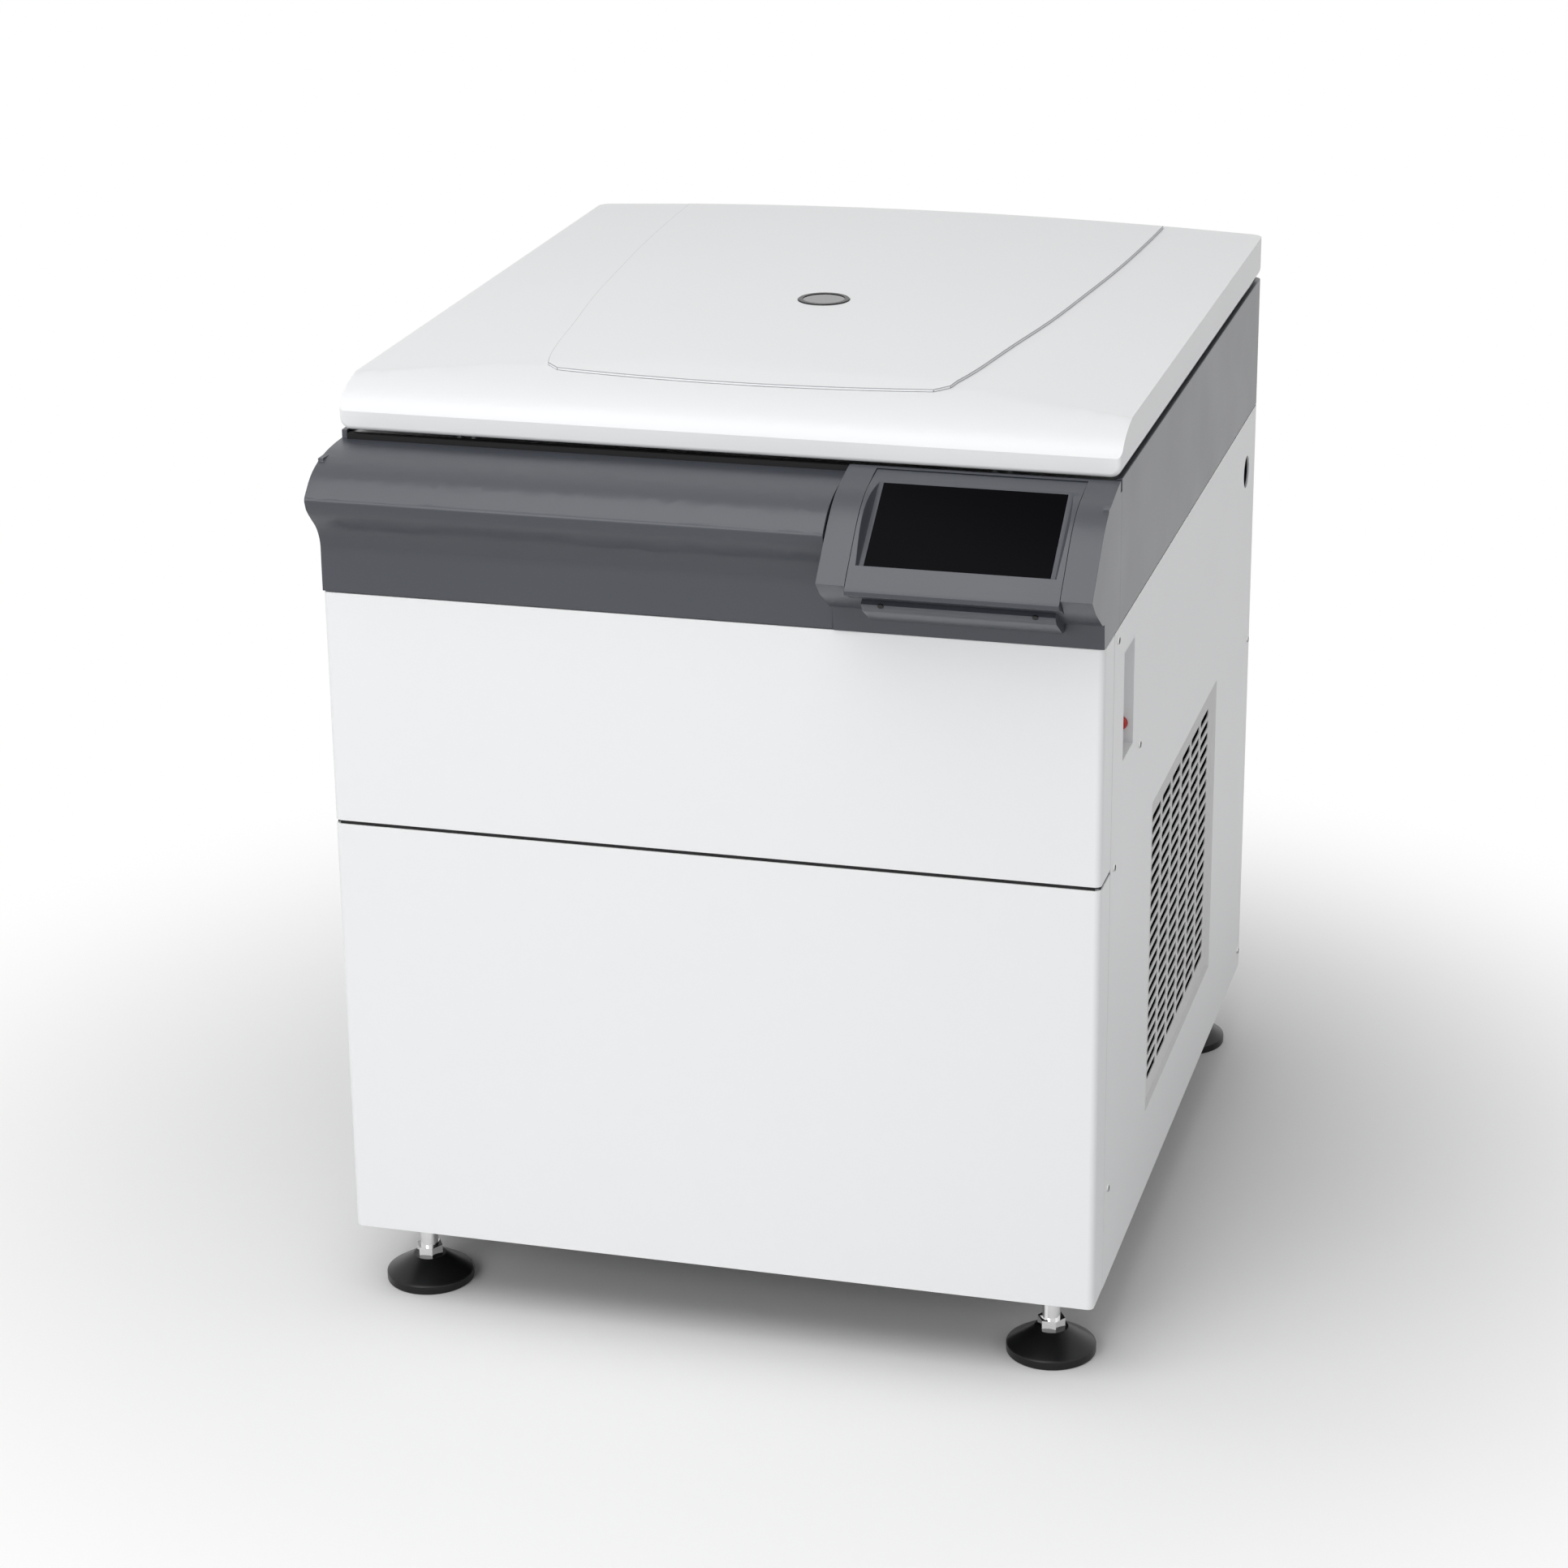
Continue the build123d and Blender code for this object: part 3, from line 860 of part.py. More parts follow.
# Screws on both sides and the nuts that lock the feet
SIDE_SCREWS = [(57, 667), (57, 465), (57, 165), (168, 537), (DEPTH - 22, 436), (DEPTH - 22, 95)]
SCREW_R, SCREW_H = 3.6, 1.4
LOCK_NUT_R, LOCK_NUT_H = 13.0, 8.0
with BuildPart() as fasteners:
    for side in (-1, 1):
        face = side * HALF
        for back, z in SIDE_SCREWS:
            cross_rod(min(face, face + side * SCREW_H), max(face, face + side * SCREW_H), behind(back), z, SCREW_R)
    for x, y in feet.values():
        with BuildSketch(Plane.XY.offset(PAN_Z + PAN_T)):
            with Locations((x, y)):
                RegularPolygon(LOCK_NUT_R, 6)
                Circle(STEM_R + RUN, mode=Mode.SUBTRACT)
        extrude(amount=LOCK_NUT_H)
save(fasteners, "fasteners")

print("hinge", round(HINGE_Y, 2), round(HINGE_Z, 2), "axis", AXIS_Y, "spring", round(degrees(lean), 2), SPRING_LEN)
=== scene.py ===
"""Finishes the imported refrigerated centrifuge: eased edges, powder coat, slotted grilles and screws."""

import json
import math

import bmesh
import bpy
from mathutils import Matrix, Vector

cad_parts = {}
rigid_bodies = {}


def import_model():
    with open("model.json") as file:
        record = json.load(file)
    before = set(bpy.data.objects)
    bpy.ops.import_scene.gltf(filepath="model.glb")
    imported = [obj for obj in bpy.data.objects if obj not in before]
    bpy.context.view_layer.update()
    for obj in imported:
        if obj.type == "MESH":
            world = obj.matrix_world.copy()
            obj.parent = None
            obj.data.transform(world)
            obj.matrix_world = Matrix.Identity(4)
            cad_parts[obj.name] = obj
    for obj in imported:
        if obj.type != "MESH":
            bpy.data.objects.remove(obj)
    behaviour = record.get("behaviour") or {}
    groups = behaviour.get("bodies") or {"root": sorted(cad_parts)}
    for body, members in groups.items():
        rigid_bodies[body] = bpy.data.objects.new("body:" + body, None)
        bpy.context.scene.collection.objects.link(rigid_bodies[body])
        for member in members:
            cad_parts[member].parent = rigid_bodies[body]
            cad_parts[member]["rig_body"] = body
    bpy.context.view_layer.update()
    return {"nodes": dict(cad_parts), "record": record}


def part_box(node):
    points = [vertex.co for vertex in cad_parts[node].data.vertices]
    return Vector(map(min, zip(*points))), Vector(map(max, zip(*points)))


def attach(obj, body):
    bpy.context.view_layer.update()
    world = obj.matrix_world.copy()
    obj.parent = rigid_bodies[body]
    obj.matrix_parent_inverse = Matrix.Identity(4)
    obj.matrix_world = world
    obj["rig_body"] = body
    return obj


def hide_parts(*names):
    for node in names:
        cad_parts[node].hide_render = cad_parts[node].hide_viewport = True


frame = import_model()
nodes = frame["nodes"]
slot_of = {part["node"]: part["material_slot"] for part in frame["record"]["subparts"]}


class Wire:
    """One socket of a node tree; sums and products of wires add their Math nodes."""

    def __init__(self, graph, socket):
        self.graph, self.socket = graph, socket

    def _math(self, operation, *values):
        return self.graph.node("ShaderNodeMath", {"operation": operation}, dict(enumerate(values)))

    def __add__(self, other):
        return self._math("ADD", self, other)

    def __sub__(self, other):
        return self._math("SUBTRACT", self, other)

    def __rsub__(self, other):
        return self._math("SUBTRACT", other, self)

    def __mul__(self, other):
        return self._math("MULTIPLY", self, other)

    def __truediv__(self, other):
        return self._math("DIVIDE", self, other)

    def __rtruediv__(self, other):
        return self._math("DIVIDE", other, self)

    __radd__ = __add__
    __rmul__ = __mul__


class Graph:
    """A node tree that grows by one call per node."""

    def __init__(self, tree):
        self.tree = tree

    def node(self, kind, settings=None, inputs=None, output=0):
        """Adds a node with its settings, then its inputs, and gives the wire of one output if it has any."""
        made = self.tree.nodes.new(kind)
        for name, value in (settings or {}).items():
            setattr(made, name, value)
        for key, value in (inputs or {}).items():
            if isinstance(value, Wire):
                self.join(value, made.inputs[key])
            else:
                made.inputs[key].default_value = value
        return Wire(self, made.outputs[output]) if len(made.outputs) else made

    def join(self, wire, socket):
        self.tree.links.new(wire.socket, socket)

    def also(self, wire, output):
        """Another output of the node that a wire comes from."""
        return Wire(self, wire.socket.node.outputs[output])

    def greater(self, one, other):
        return self.node("ShaderNodeMath", {"operation": "MAXIMUM"}, {0: one, 1: other})


def seen_directly(graph):
    """One for the rays that show the background: from the camera, and through or off a gloss or glass."""
    camera_ray = graph.node("ShaderNodeLightPath", output="Is Camera Ray")
    glossy_ray = graph.also(camera_ray, "Is Glossy Ray")
    through_ray = graph.also(camera_ray, "Is Transmission Ray")
    return graph.greater(camera_ray, graph.greater(glossy_ray, through_ray))


# Finishes
CLOUDS = {"Scale": 9.0, "Detail": 4.0}
STREAKS = {"Scale": 40.0, "Detail": 3.0}
STREAK_SPREAD = 0.22
GRAIN_DETAIL, GRAIN_STRENGTH = 2.0, 0.6


def finish(name, colour, roughness, metallic=0.0, grain=None, mottle=0.0, brushed=None, **fixed):
    """A surface finish.

    mottle is how far the roughness wanders in soft clouds, and brushed the scale of streaks in its place.
    grain is the size and depth of a fine texture in metres. fixed holds other values of the shader's sockets.
    """
    material = bpy.data.materials.new(name)
    material.use_nodes = True
    graph = Graph(material.node_tree)
    shader = material.node_tree.nodes["Principled BSDF"]
    shader.inputs["Base Color"].default_value = (*colour, 1)
    shader.inputs["Roughness"].default_value = roughness
    shader.inputs["Metallic"].default_value = metallic
    for socket, value in fixed.items():
        shader.inputs[socket.replace("_", " ")].default_value = value
    place = graph.node("ShaderNodeTexCoord", output="Object")
    if brushed:
        place = graph.node("ShaderNodeMapping", {}, {"Vector": place, "Scale": brushed})
    spread, pattern = (STREAK_SPREAD, STREAKS) if brushed else (mottle, CLOUDS)
    if spread:
        noise = graph.node("ShaderNodeTexNoise", {}, {"Vector": place, **pattern})
        graph.join(noise * spread + (roughness - spread / 2), shader.inputs["Roughness"])
    if grain:
        size, depth = grain
        pebbles = graph.node("ShaderNodeTexNoise", {}, {
            "Vector": place, "Scale": 1 / size, "Detail": GRAIN_DETAIL})
        bump = graph.node("ShaderNodeBump", {}, {
            "Height": pebbles, "Distance": depth, "Strength": GRAIN_STRENGTH})
        graph.join(bump, shader.inputs["Normal"])
    return material


POWDER_GRAIN = (0.0016, 0.00003)
MOULDED_GRAIN = (0.0011, 0.00005)
FOAM_GRAIN = (0.004, 0.0006)
# The next is the texture of the dark sheet of painted shade behind the grilles
SHADE_SHEET_GRAIN = (0.002, 0.0004)

# One finish for each slot of the record, and two of the scene's own
FINISHES = {
    "white_paint": finish("white powder coat", (0.85, 0.858, 0.868), 0.42, grain=POWDER_GRAIN, mottle=0.08),
    "white_plastic": finish("white moulding", (0.83, 0.84, 0.85), 0.38, mottle=0.06),
    "grey_plastic": finish("slate moulding", (0.057, 0.062, 0.075), 0.33, grain=MOULDED_GRAIN, mottle=0.08),
    "black_glass": finish("screen glass", (0.002, 0.002, 0.003), 0.12, Specular_IOR_Level=0.02),
    "black_plastic": finish("black moulding", (0.010, 0.010, 0.011), 0.3, mottle=0.06,
                            Specular_IOR_Level=0.3),
    "window_glass": finish("window glass", (0.035, 0.037, 0.04), 0.06, Coat_Weight=0.5, Alpha=0.93),
    "stainless": finish("brushed stainless", (0.6, 0.6, 0.6), 0.3, metallic=1.0, brushed=(1, 12, 12)),
    "black_rubber": finish("black rubber", (0.010, 0.010, 0.011), 0.6, Specular_IOR_Level=0.25),
    "copper": finish("copper jacket", (0.72, 0.36, 0.22), 0.34, metallic=1.0),
    "foam": finish("cut foam", (0.82, 0.76, 0.55), 0.85, grain=FOAM_GRAIN),
    "steel": finish("zinc plate", (0.36, 0.37, 0.39), 0.38, metallic=1.0, mottle=0.12),
    "black_paint": finish("black enamel", (0.02, 0.02, 0.022), 0.38, mottle=0.06),
    "aluminium": finish("clear anodised", (0.7, 0.71, 0.73), 0.34, metallic=1.0, mottle=0.08),
    "chrome": finish("polished chrome", (0.78, 0.78, 0.78), 0.1, metallic=1.0),
    "red_plastic": finish("red button", (0.52, 0.01, 0.01), 0.28),
    # Near black with no shine: painted shade seen through the grille slots
    "shade_sheet": finish("painted shade sheet", (0.006, 0.006, 0.007), 1.0, grain=SHADE_SHEET_GRAIN,
                          Specular_IOR_Level=0.0),
    # Grey for the eased edges round the lid panel: painted shade of the step round it
    "seam": finish("painted seam shade", (0.36, 0.37, 0.39), 0.5),
}

# Helpers for meshes
MERGE = 2e-5
FLAT = math.radians(0.4)
SOFT_EDGE = math.radians(28)
QUARTER = math.pi / 2


def in_scene(name, data):
    """A new object at the origin that holds a mesh, a lens or a lamp."""
    piece = bpy.data.objects.new(name, data)
    bpy.context.scene.collection.objects.link(piece)
    return piece


def written(work, mesh):
    """Puts a bmesh into a mesh and lets it go."""
    work.to_mesh(mesh)
    work.free()
    return mesh


def clean_copy(name):
    """The node's mesh in one skin, its flat faces whole."""
    mesh = nodes[name].data.copy()
    work = bmesh.new()
    work.from_mesh(mesh)
    bmesh.ops.remove_doubles(work, verts=work.verts, dist=MERGE)
    bmesh.ops.dissolve_limit(work, angle_limit=FLAT, verts=work.verts, edges=work.edges)
    return written(work, mesh)


def mended(mesh):
    """One skin with its faces outwards."""
    work = bmesh.new()
    work.from_mesh(mesh)
    bmesh.ops.remove_doubles(work, verts=work.verts, dist=MERGE)
    bmesh.ops.recalc_face_normals(work, faces=work.faces)
    written(work, mesh)


def settled(thing):
    """The thing's shape with its modifiers worked in, as a plain mesh."""
    bpy.context.view_layer.update()
    seen = thing.evaluated_get(bpy.context.evaluated_depsgraph_get())
    mesh = bpy.data.meshes.new_from_object(seen)
    thing.modifiers.clear()
    thing.data = mesh
    return thing


def smooth_over(mesh):
    """Smooth shading that stops at the edges sharper than a soft one."""
    mesh.polygons.foreach_set("use_smooth", [True] * len(mesh.polygons))
    mesh.set_sharp_from_angle(angle=SOFT_EDGE)


def painted_over(mesh, *looks):
    """Leaves a mesh with these finishes alone."""
    mesh.materials.clear()
    for look in looks:
        mesh.materials.append(FINISHES[look])


def joined(name, parts):
    """Several plain objects as one mesh, in the finish of the first."""
    work = bmesh.new()
    for part in parts:
        work.from_mesh(part.data)
    mesh = written(work, bpy.data.meshes.new(name))
    mesh.materials.append(parts[0].data.materials[0])
    for polygon in mesh.polygons:
        polygon.material_index = 0
    for part in parts:
        bpy.data.objects.remove(part)
    return in_scene(name, mesh)


def bars(name, boxes, slot, look=None):
    """Plain bars between two corners each, one piece on the chassis, in the slot's finish or its own look."""
    work = bmesh.new()
    for low, high in boxes:
        low, high = Vector(low), Vector(high)
        made = bmesh.ops.create_cube(work, size=1.0)
        stretch = Matrix.Translation((low + high) / 2) @ Matrix.Diagonal((*(high - low), 1))
        bmesh.ops.transform(work, matrix=stretch, verts=made["verts"])
    mesh = written(work, bpy.data.meshes.new(name))
    mesh.materials.append(FINISHES[look or slot])
    piece = in_scene(name, mesh)
    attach(piece, "chassis")


# Pieces made from the solids, and the width of the eased edges of those that have them
EDGES = {
    "front_cover_upper": 0.0012, "front_cover_lower": 0.0012, "side_panel_left": 0.0007,
    "side_panel_right": 0.0007, "rear_panel": 0.0008, "switch_pocket": 0.0006, "power_button": 0.0006,
    "collar": 0.0018, "display_housing": 0.0016, "display_module": 0.0012, "display_screen": 0.0004,
    "lid_shell": 0.0022, "lid_panel": 0.0010, "lid_liner": 0.0012, "lid_strikers": 0.0004,
    "hinge_arms": 0.0006, "hinge_lugs": 0.0006, "spring_bracket": 0.0005, "latch_housings": 0.0005,
    "latch_hook_left": 0.0003, "latch_hook_right": 0.0003, "rotor_yoke": 0.0010, "rotor_nut": 0.0008,
    "motor_body": 0.0012, "inverter_drive": 0.0008, "inner_frame": 0.0006, "base_pan": 0.0006,
    "mains_inlet": 0.0007,
}
EDGES.update({f"bucket_{number}": 0.0005 for number in (1, 2, 3, 4)})
FEET = ("front_left", "front_right", "rear_left", "rear_right")
EDGES.update({f"foot_pad_{foot}": 0.0006 for foot in FEET})
# The lid panel's eased edges take the grey seam finish: painted shade of the step round the panel
PAINTED_EDGE_SHADES = {"lid_panel": "seam"}
EASE_STEPS = 2
MADE_ANEW = ("vent_grilles", "fasteners")


def dressed(name):
    """Stands for a solid of the frame, with its sharp edges eased, and those edges painted grey as shade
    where the piece has an entry for it.
    """
    piece = in_scene(name + "_finished", clean_copy(name))
    slot = slot_of[name]
    if name in EDGES:
        ease = piece.modifiers.new("eased edges", "BEVEL")
        ease.width, ease.segments, ease.limit_method = EDGES[name], EASE_STEPS, "ANGLE"
        ease.angle_limit, ease.harden_normals = SOFT_EDGE, False
        ease.material = 1 if name in PAINTED_EDGE_SHADES else -1
        painted_over(piece.data, slot, PAINTED_EDGE_SHADES.get(name, slot))
        settled(piece)
    else:
        painted_over(piece.data, slot)
    smooth_over(piece.data)
    piece.modifiers.new("even shading", "WEIGHTED_NORMAL").keep_sharp = True
    settled(piece)
    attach(piece, nodes[name]["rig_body"])
    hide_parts(name)


for name in nodes:
    if name not in MADE_ANEW:
        dressed(name)


# Geometry Nodes
def new_group(name, inputs):
    """A node group with these inputs, its graph, and a way to the wire of each input."""
    group = bpy.data.node_groups.new(name, "GeometryNodeTree")
    group.interface.new_socket("Geometry", in_out="OUTPUT", socket_type="NodeSocketGeometry")
    for label, kind in inputs:
        group.interface.new_socket(label, in_out="INPUT", socket_type="NodeSocket" + kind)
    graph = Graph(group)
    entry = graph.node("NodeGroupInput")
    return group, graph, lambda label: graph.also(entry, label)


def grown(name, group, values):
    """A plain mesh object grown by a node group, whose inputs are set by their sockets' identifiers."""
    piece = in_scene(name, bpy.data.meshes.new(name))
    growth = piece.modifiers.new("growth", "NODES")
    growth.node_group = group
    for item in group.interface.items_tree:
        if item.item_type == "SOCKET" and item.in_out == "INPUT":
            growth[item.identifier] = values[item.name]
    return settled(piece)


def both(graph, one, other):
    """Two geometries in one."""
    together = graph.node("GeometryNodeJoinGeometry", {}, {"Geometry": one})
    graph.join(other, together.socket.node.inputs["Geometry"])
    return together


def ended(graph, geometry, look):
    """Realises a geometry in one finish, and puts it out."""
    solid = graph.node("GeometryNodeRealizeInstances", {}, {"Geometry": geometry})
    coloured = graph.node("GeometryNodeSetMaterial", {}, {"Geometry": solid, "Material": look})
    graph.node("NodeGroupOutput", {}, {"Geometry": coloured})


# Vent grilles: a recessed frame and a plate of round-ended slots
GRILLE_DEPTH, GRILLE_BEVEL, GRILLE_T = 0.0035, 0.0025, 0.0009
SLOT_LENGTH, SLOT_HEIGHT = 0.044, 0.0074
SLOT_PITCH, ROW_PITCH = 0.0515, 0.012
SLOT_COLUMNS, SLOT_ROWS = 6, 22
ROUND_END, ROUND_STEPS = 0.499, 4
FIELD_HALF_Y, FIELD_HALF_Z = SLOT_COLUMNS * SLOT_PITCH / 2, SLOT_ROWS * ROW_PITCH / 2
grille_low, grille_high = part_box("vent_grilles")
grille_middle = (grille_low + grille_high) / 2


def slotted_plate():
    """Cells with one round-ended slot each, laid out in columns and rows, facing +Z."""
    group, graph, sizes = new_group("slotted plate", [
        ("Slot length", "Float"), ("Slot height", "Float"), ("Column pitch", "Float"), ("Row pitch", "Float"),
        ("Columns", "Int"), ("Rows", "Int"), ("Thickness", "Float"), ("Turn", "Vector"), ("Place", "Vector"),
        ("Finish", "Material")])
    cell = graph.node("GeometryNodeCurvePrimitiveQuadrilateral", {},
                      {"Width": sizes("Column pitch"), "Height": sizes("Row pitch")})
    slot = graph.node("GeometryNodeCurvePrimitiveQuadrilateral", {},
                      {"Width": sizes("Slot length"), "Height": sizes("Slot height")})
    slot = graph.node("GeometryNodeFilletCurve", {"mode": "POLY"},
                      {"Curve": slot, "Count": ROUND_STEPS, "Radius": sizes("Slot height") * ROUND_END})
    face = graph.node("GeometryNodeFillCurve", {"mode": "TRIANGLES"}, {"Curve": both(graph, cell, slot)})
    lattice = graph.node("GeometryNodeMeshGrid", {}, {
        "Size X": (sizes("Columns") - 1) * sizes("Column pitch"),
        "Size Y": (sizes("Rows") - 1) * sizes("Row pitch"),
        "Vertices X": sizes("Columns"), "Vertices Y": sizes("Rows")})
    cells = graph.node("GeometryNodeInstanceOnPoints", {}, {"Points": lattice, "Instance": face})
    cells = graph.node("GeometryNodeRealizeInstances", {}, {"Geometry": cells})
    cells = graph.node("GeometryNodeMergeByDistance", {}, {"Geometry": cells, "Distance": MERGE})
    walls = graph.node("GeometryNodeExtrudeMesh", {}, {
        "Mesh": cells, "Offset": graph.node("ShaderNodeCombineXYZ", {}, {"Z": -1.0}),
        "Offset Scale": sizes("Thickness"), "Individual": False})
    skin = graph.node("GeometryNodeMergeByDistance", {}, {
        "Geometry": both(graph, walls, cells), "Distance": MERGE})
    placed = graph.node("GeometryNodeTransform", {}, {
        "Geometry": skin, "Rotation": sizes("Turn"), "Translation": sizes("Place")})
    ended(graph, placed, sizes("Finish"))
    return group


def grille_bezel(side, face_x):
    """A closed frame through rectangles: half width, half height and distance out from the panel's face."""
    half_y = (grille_high.y - grille_low.y) / 2
    half_z = (grille_high.z - grille_low.z) / 2
    back = -GRILLE_DEPTH - GRILLE_T
    rings = [
        (half_y, half_z, 0.0),
        (half_y - GRILLE_BEVEL, half_z - GRILLE_BEVEL, -GRILLE_DEPTH),
        (FIELD_HALF_Y, FIELD_HALF_Z, -GRILLE_DEPTH),
        (FIELD_HALF_Y, FIELD_HALF_Z, back),
        (half_y - GRILLE_BEVEL, half_z - GRILLE_BEVEL, back),
        (half_y, half_z, -GRILLE_T)]
    work = bmesh.new()
    corner_signs = ((-1, -1), (1, -1), (1, 1), (-1, 1))
    loops = [[work.verts.new((width * sx, height * sy, out)) for sx, sy in corner_signs]
             for width, height, out in rings]
    for outer, inner in zip(loops, loops[1:] + loops[:1]):
        for n in range(4):
            m = (n + 1) % 4
            work.faces.new((outer[n], outer[m], inner[m], inner[n]))
    bmesh.ops.recalc_face_normals(work, faces=work.faces)
    bezel = in_scene("grille_bezel", written(work, bpy.data.meshes.new("grille_bezel")))
    bezel.data.transform(Matrix.Translation((face_x, grille_middle.y, grille_middle.z))
                         @ Matrix.Rotation(side * QUARTER, 4, "Z") @ Matrix.Rotation(QUARTER, 4, "X"))
    bezel.data.materials.append(FINISHES["white_paint"])
    return bezel


plate_group = slotted_plate()
grille_parts = []
for side, face_x in ((1, grille_high.x), (-1, grille_low.x)):
    plate = grown("grille_plate", plate_group, {
        "Slot length": SLOT_LENGTH, "Slot height": SLOT_HEIGHT, "Column pitch": SLOT_PITCH,
        "Row pitch": ROW_PITCH, "Columns": SLOT_COLUMNS, "Rows": SLOT_ROWS, "Thickness": GRILLE_T,
        "Turn": Vector((QUARTER, 0, side * QUARTER)),
        "Place": Vector((face_x - side * GRILLE_DEPTH, grille_middle.y, grille_middle.z)),
        "Finish": FINISHES["white_paint"]})
    mended(plate.data)
    grille_parts += [plate, grille_bezel(side, face_x)]
grilles = joined("slotted_grilles", grille_parts)
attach(grilles, "chassis")
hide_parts("vent_grilles")

# A dark sheet behind each grille: painted shade in the slots
SHADE_SHEET_BACK, SHADE_SHEET_T = 0.0085, 0.0025
for side, label in ((1, "right"), (-1, "left")):
    near, far = sorted(side * (grille_high.x - SHADE_SHEET_BACK - depth) for depth in (0, SHADE_SHEET_T))
    corners = ((near, grille_low.y, grille_low.z), (far, grille_high.y, grille_high.z))
    bars("dust_filter_" + label, [corners], "black_rubber", look="shade_sheet")

# Screws with sockets on both sides, and the nuts that lock the feet. MARK is the size of a marker's face, and
# SCREW_REACH how near to the panel's face the corners of the solids' own screws begin.
SCREW_R, SCREW_H, SOCKET_R, SOCKET_DEPTH = 0.0036, 0.0014, 0.0018, 0.001
HEAD_TAPER, HEAD_SIDES = 0.78, 24
SCREW_PLACES = [
    (0.057, 0.667), (0.057, 0.465), (0.057, 0.165), (0.168, 0.537), (0.778, 0.436), (0.778, 0.095)]
MARK, SCREW_REACH = 1e-5, 1e-4
front_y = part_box("front_cover_lower")[0].y
side_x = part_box("side_panel_right")[1].x


def screw_heads():
    """A domed head with a socket on each point of the places, turned by that point's normal."""
    group, graph, sizes = new_group("screw heads", [
        ("Places", "Object"), ("Radius", "Float"), ("Height", "Float"), ("Socket", "Float"),
        ("Socket depth", "Float"), ("Finish", "Material")])
    places = graph.node("GeometryNodeObjectInfo", {}, {"Object": sizes("Places")}, output="Geometry")
    head = graph.node("GeometryNodeMeshCone", {}, {
        "Vertices": HEAD_SIDES, "Side Segments": 1, "Radius Top": sizes("Radius") * HEAD_TAPER,
        "Radius Bottom": sizes("Radius"), "Depth": sizes("Height")})
    rim = graph.node("GeometryNodeExtrudeMesh", {}, {
        "Mesh": head, "Selection": graph.also(head, "Top"), "Offset Scale": 0.0, "Individual": False})
    hollow = graph.node("GeometryNodeScaleElements", {}, {
        "Geometry": rim, "Selection": graph.also(rim, "Top"),
        "Scale": sizes("Socket") / (sizes("Radius") * HEAD_TAPER)})
    socket = graph.node("GeometryNodeExtrudeMesh", {}, {
        "Mesh": hollow, "Selection": graph.also(rim, "Top"),
        "Offset Scale": sizes("Socket depth") * -1.0, "Individual": False})
    aim = graph.node("FunctionNodeAlignRotationToVector", {"axis": "Z"}, {
        "Vector": graph.node("GeometryNodeInputNormal")})
    heads = graph.node("GeometryNodeInstanceOnPoints", {}, {
        "Points": places, "Instance": socket, "Rotation": aim})
    ended(graph, heads, sizes("Finish"))
    return group


def screw_markers():
    """A tiny face at each screw's place on both sides, back from the front and up from the floor."""
    corners, faces = [], []
    for side in (1, -1):
        for back, height in SCREW_PLACES:
            first = len(corners)
            middle = Vector((side * side_x, front_y + back, height))
            corners += [middle + Vector((0, dy, dz)) for dy, dz in ((0, 0), (side * MARK, 0), (0, MARK))]
            faces.append((first, first + 1, first + 2))
    mesh = bpy.data.meshes.new("screw_markers")
    mesh.from_pydata(corners, [], faces)
    return in_scene("screw_markers", mesh)


def lock_nuts():
    """The fasteners without the side screws."""
    work = bmesh.new()
    mesh = clean_copy("fasteners")
    work.from_mesh(mesh)
    screws_alone = [corner for corner in work.verts if abs(corner.co.x) > side_x - SCREW_REACH]
    bmesh.ops.delete(work, geom=screws_alone, context="VERTS")
    written(work, mesh)
    painted_over(mesh, "stainless")
    return in_scene("lock_nuts", mesh)


markers = screw_markers()
screws = grown("side_screws", screw_heads(), {
    "Places": markers, "Radius": SCREW_R, "Height": SCREW_H, "Socket": SOCKET_R, "Socket depth": SOCKET_DEPTH,
    "Finish": FINISHES["stainless"]})
bpy.data.objects.remove(markers)
fixings = joined("screws_and_nuts", [lock_nuts(), screws])
smooth_over(fixings.data)
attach(fixings, "chassis")
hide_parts("fasteners")

# Two flush black discs low on the chin under the screen: painted shade of two screw holes
CHIN_AHEAD, CHIN_DROP, CHIN_FALL = 0.0455, 0.0885, math.radians(34.8)
CHIN_HOLES, CHIN_HOLE_R, CHIN_HOLE_T, CHIN_HOLE_SIDES = (0.163, 0.291), 0.0026, 0.0012, 20
collar_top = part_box("collar")[1].z
work = bmesh.new()
for x in CHIN_HOLES:
    made = bmesh.ops.create_cone(work, cap_ends=True, segments=CHIN_HOLE_SIDES, radius1=CHIN_HOLE_R,
                                 radius2=CHIN_HOLE_R, depth=CHIN_HOLE_T)
    spot = Matrix.Translation((x, front_y - CHIN_AHEAD, collar_top - CHIN_DROP))
    bmesh.ops.transform(work, matrix=spot @ Matrix.Rotation(QUARTER + CHIN_FALL, 4, "X"), verts=made["verts"])
chin_mesh = written(work, bpy.data.meshes.new("chin_screw_holes"))
painted_over(chin_mesh, "black_plastic")
chin_shade_discs = in_scene("chin_screw_holes", chin_mesh)
smooth_over(chin_mesh)
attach(chin_shade_discs, "chassis")

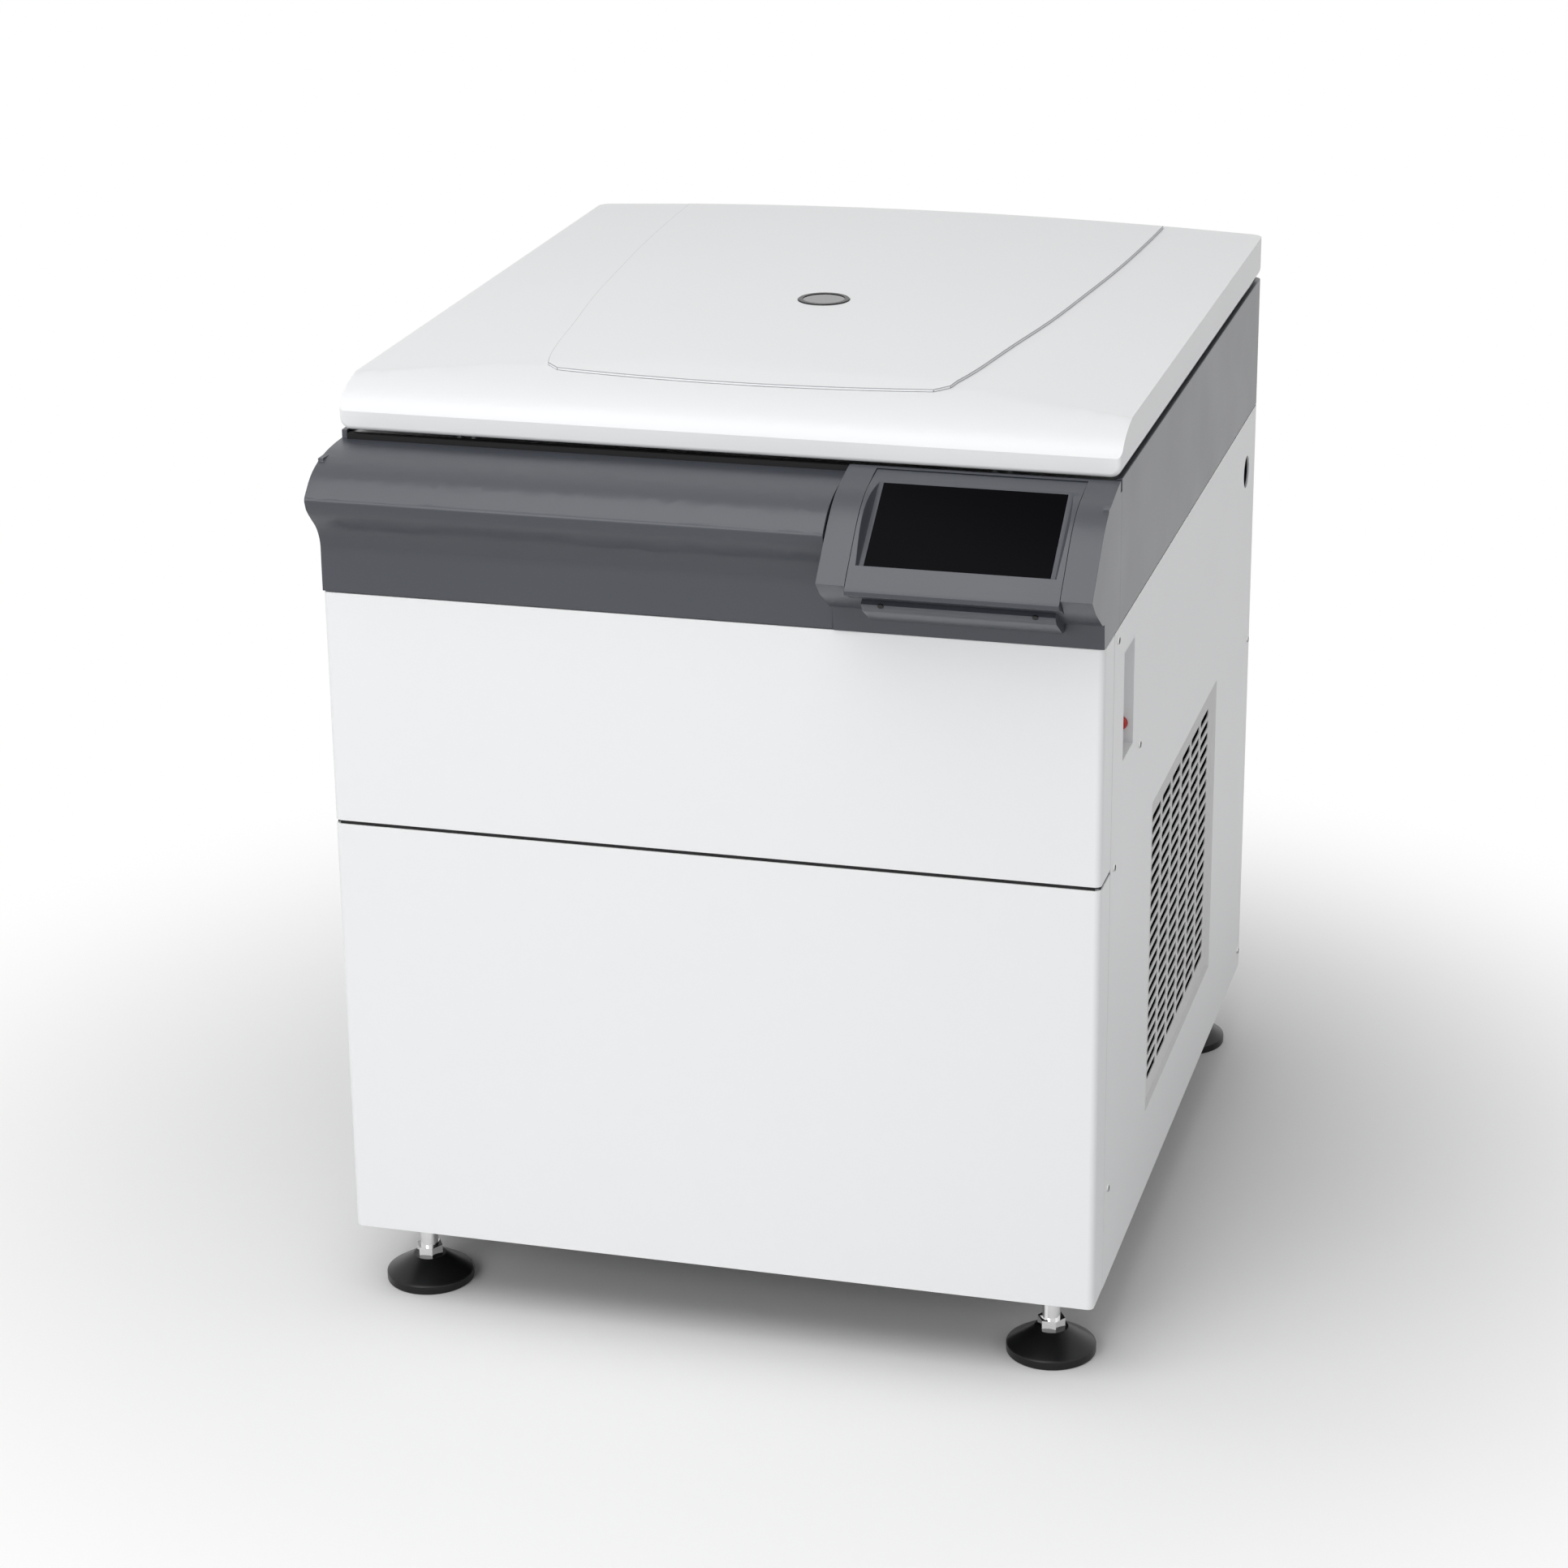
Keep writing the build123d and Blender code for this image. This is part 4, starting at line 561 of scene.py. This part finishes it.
# Dark strips of painted shade in the seam between the front covers and in each gap before a side panel
seam_low, seam_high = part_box("front_cover_lower")[1].z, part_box("front_cover_upper")[0].z
SEAM_SINK, STRIP_T, COVER_WRAP, CORNER_EASE, PANEL_SINK = 0.0012, 0.0010, 0.040, 0.004, 0.002
strip_x, strip_y = side_x - SEAM_SINK, front_y + SEAM_SINK
wrap_start, wrap_end = strip_y + CORNER_EASE, front_y + COVER_WRAP
bars("cover_seam_strip", [
    ((CORNER_EASE - strip_x, strip_y, seam_low), (strip_x - CORNER_EASE, strip_y + STRIP_T, seam_high)),
    ((strip_x - STRIP_T, wrap_start, seam_low), (strip_x, wrap_end, seam_high)),
    ((-strip_x, wrap_start, seam_low), (STRIP_T - strip_x, wrap_end, seam_high))], "black_rubber")
gap_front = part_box("front_cover_lower")[1].y
panel_low, panel_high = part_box("side_panel_right")
for side, label in ((1, "right"), (-1, "left")):
    inner, outer = sorted((side * (strip_x - STRIP_T), side * strip_x))
    corners = ((inner, gap_front, panel_low.z + PANEL_SINK), (outer, panel_low.y, panel_high.z - PANEL_SINK))
    bars("panel_gap_strip_" + label, [corners], "black_rubber")

# A black strip behind the collar's nose, as far as the display housing: painted shade in the gap under the
# lid's front edge
GAP_SHADE_INSET, GAP_SHADE_BACK, GAP_SHADE_W, GAP_SHADE_DROP, GAP_SHADE_H = 0.006, 0.0585, 0.007, 0.0022, 0.006
gap_shade_y, gap_shade_top = front_y + GAP_SHADE_BACK, collar_top - GAP_SHADE_DROP
bars("collar_seal", [
    ((GAP_SHADE_INSET - side_x, gap_shade_y, gap_shade_top - GAP_SHADE_H),
     (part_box("display_housing")[0].x, gap_shade_y + GAP_SHADE_W, gap_shade_top))], "black_rubber")

# Camera at the photograph's angle
CAMERA_AZ, CAMERA_EL, CAMERA_ROLL = math.radians(15.423), math.radians(20.381), math.radians(-0.631)
CAMERA_PLACE = Vector((0.9041, -3.4003, 1.7056))
LENS_MM, SENSOR_MM = 91.44, 36.0
back = Vector((math.sin(CAMERA_AZ) * math.cos(CAMERA_EL), -math.cos(CAMERA_AZ) * math.cos(CAMERA_EL),
               math.sin(CAMERA_EL)))
level = Vector((0, 0, 1)).cross(back).normalized()
right = math.cos(CAMERA_ROLL) * level + math.sin(CAMERA_ROLL) * back.cross(level)
up = back.cross(right)
lens = bpy.data.cameras.new("Camera")
lens.lens, lens.sensor_width, lens.sensor_fit = LENS_MM, SENSOR_MM, "AUTO"
camera = in_scene("Camera", lens)
camera.matrix_world = Matrix.Translation(CAMERA_PLACE) @ Matrix((right, up, back)).transposed().to_4x4()
bpy.context.scene.camera = camera


# Studio
def panel_lamp(name, place, target, size, watts):
    """A square soft lamp that faces a point."""
    light = bpy.data.lights.new(name, "AREA")
    light.shape, light.size, light.energy = "SQUARE", size, watts
    lamp = in_scene(name, light)
    lamp.location = place
    lamp.rotation_euler = (Vector(target) - Vector(place)).to_track_quat("-Z", "Y").to_euler()


panel_lamp("front_left_panel", place=(-1.25, -4.2, 1.6), target=(0, 0, 0.45), size=2.2, watts=48)
panel_lamp("overhead_panel", place=(-0.5, -1.5, 3.4), target=(0, 0, 0.5), size=2.6, watts=50)
panel_lamp("right_panel", place=(3.6, -0.8, 1.6), target=(0.2, 0, 0.5), size=2.2, watts=5)

# The floor keeps its shade as far as SHADE_REACH from the middle, and is white beyond WHITE_REACH. The world
# lights the object with WORLD_LIGHT, and is white where it is seen directly.
FLOOR_HALF = 12.0
SHADE_REACH, WHITE_REACH = 0.4, 1.2
WORLD_LIGHT = 0.4


def studio_floor():
    """A pale floor that keeps shadows, and whitens away from the object where it is seen directly."""
    material = finish("studio floor", (0.93, 0.93, 0.93), 0.9)
    graph = Graph(material.node_tree)
    shader = material.node_tree.nodes["Principled BSDF"]
    place = graph.node("ShaderNodeTexCoord", output="Object")
    reach = graph.node("ShaderNodeVectorMath", {"operation": "LENGTH"}, {0: place}, output="Value")
    rim = graph.node("ShaderNodeMapRange", {"interpolation_type": "SMOOTHSTEP"}, {
        "Value": reach, "From Min": SHADE_REACH, "From Max": WHITE_REACH})
    white = graph.node("ShaderNodeEmission", {}, {"Color": (1, 1, 1, 1), "Strength": 1.0})
    mixed = graph.node("ShaderNodeMixShader", {}, {
        0: rim * seen_directly(graph), 1: Wire(graph, shader.outputs[0]), 2: white})
    graph.join(mixed, material.node_tree.nodes["Material Output"].inputs["Surface"])
    return material


floor_mesh = bpy.data.meshes.new("floor")
floor_mesh.from_pydata([(-FLOOR_HALF, -FLOOR_HALF, 0), (FLOOR_HALF, -FLOOR_HALF, 0),
                        (FLOOR_HALF, FLOOR_HALF, 0), (-FLOOR_HALF, FLOOR_HALF, 0)], [], [(0, 1, 2, 3)])
floor_mesh.materials.append(studio_floor())
floor = in_scene("floor", floor_mesh)

world = bpy.data.worlds.new("studio")
bpy.context.scene.world = world
world.use_nodes = True
sky = Graph(world.node_tree)
background = world.node_tree.nodes["Background"]
background.inputs["Color"].default_value = (1, 1, 1, 1)
sky.join(seen_directly(sky) * (1 - WORLD_LIGHT) + WORLD_LIGHT, background.inputs["Strength"])

bpy.context.scene.view_settings.view_transform = "Standard"
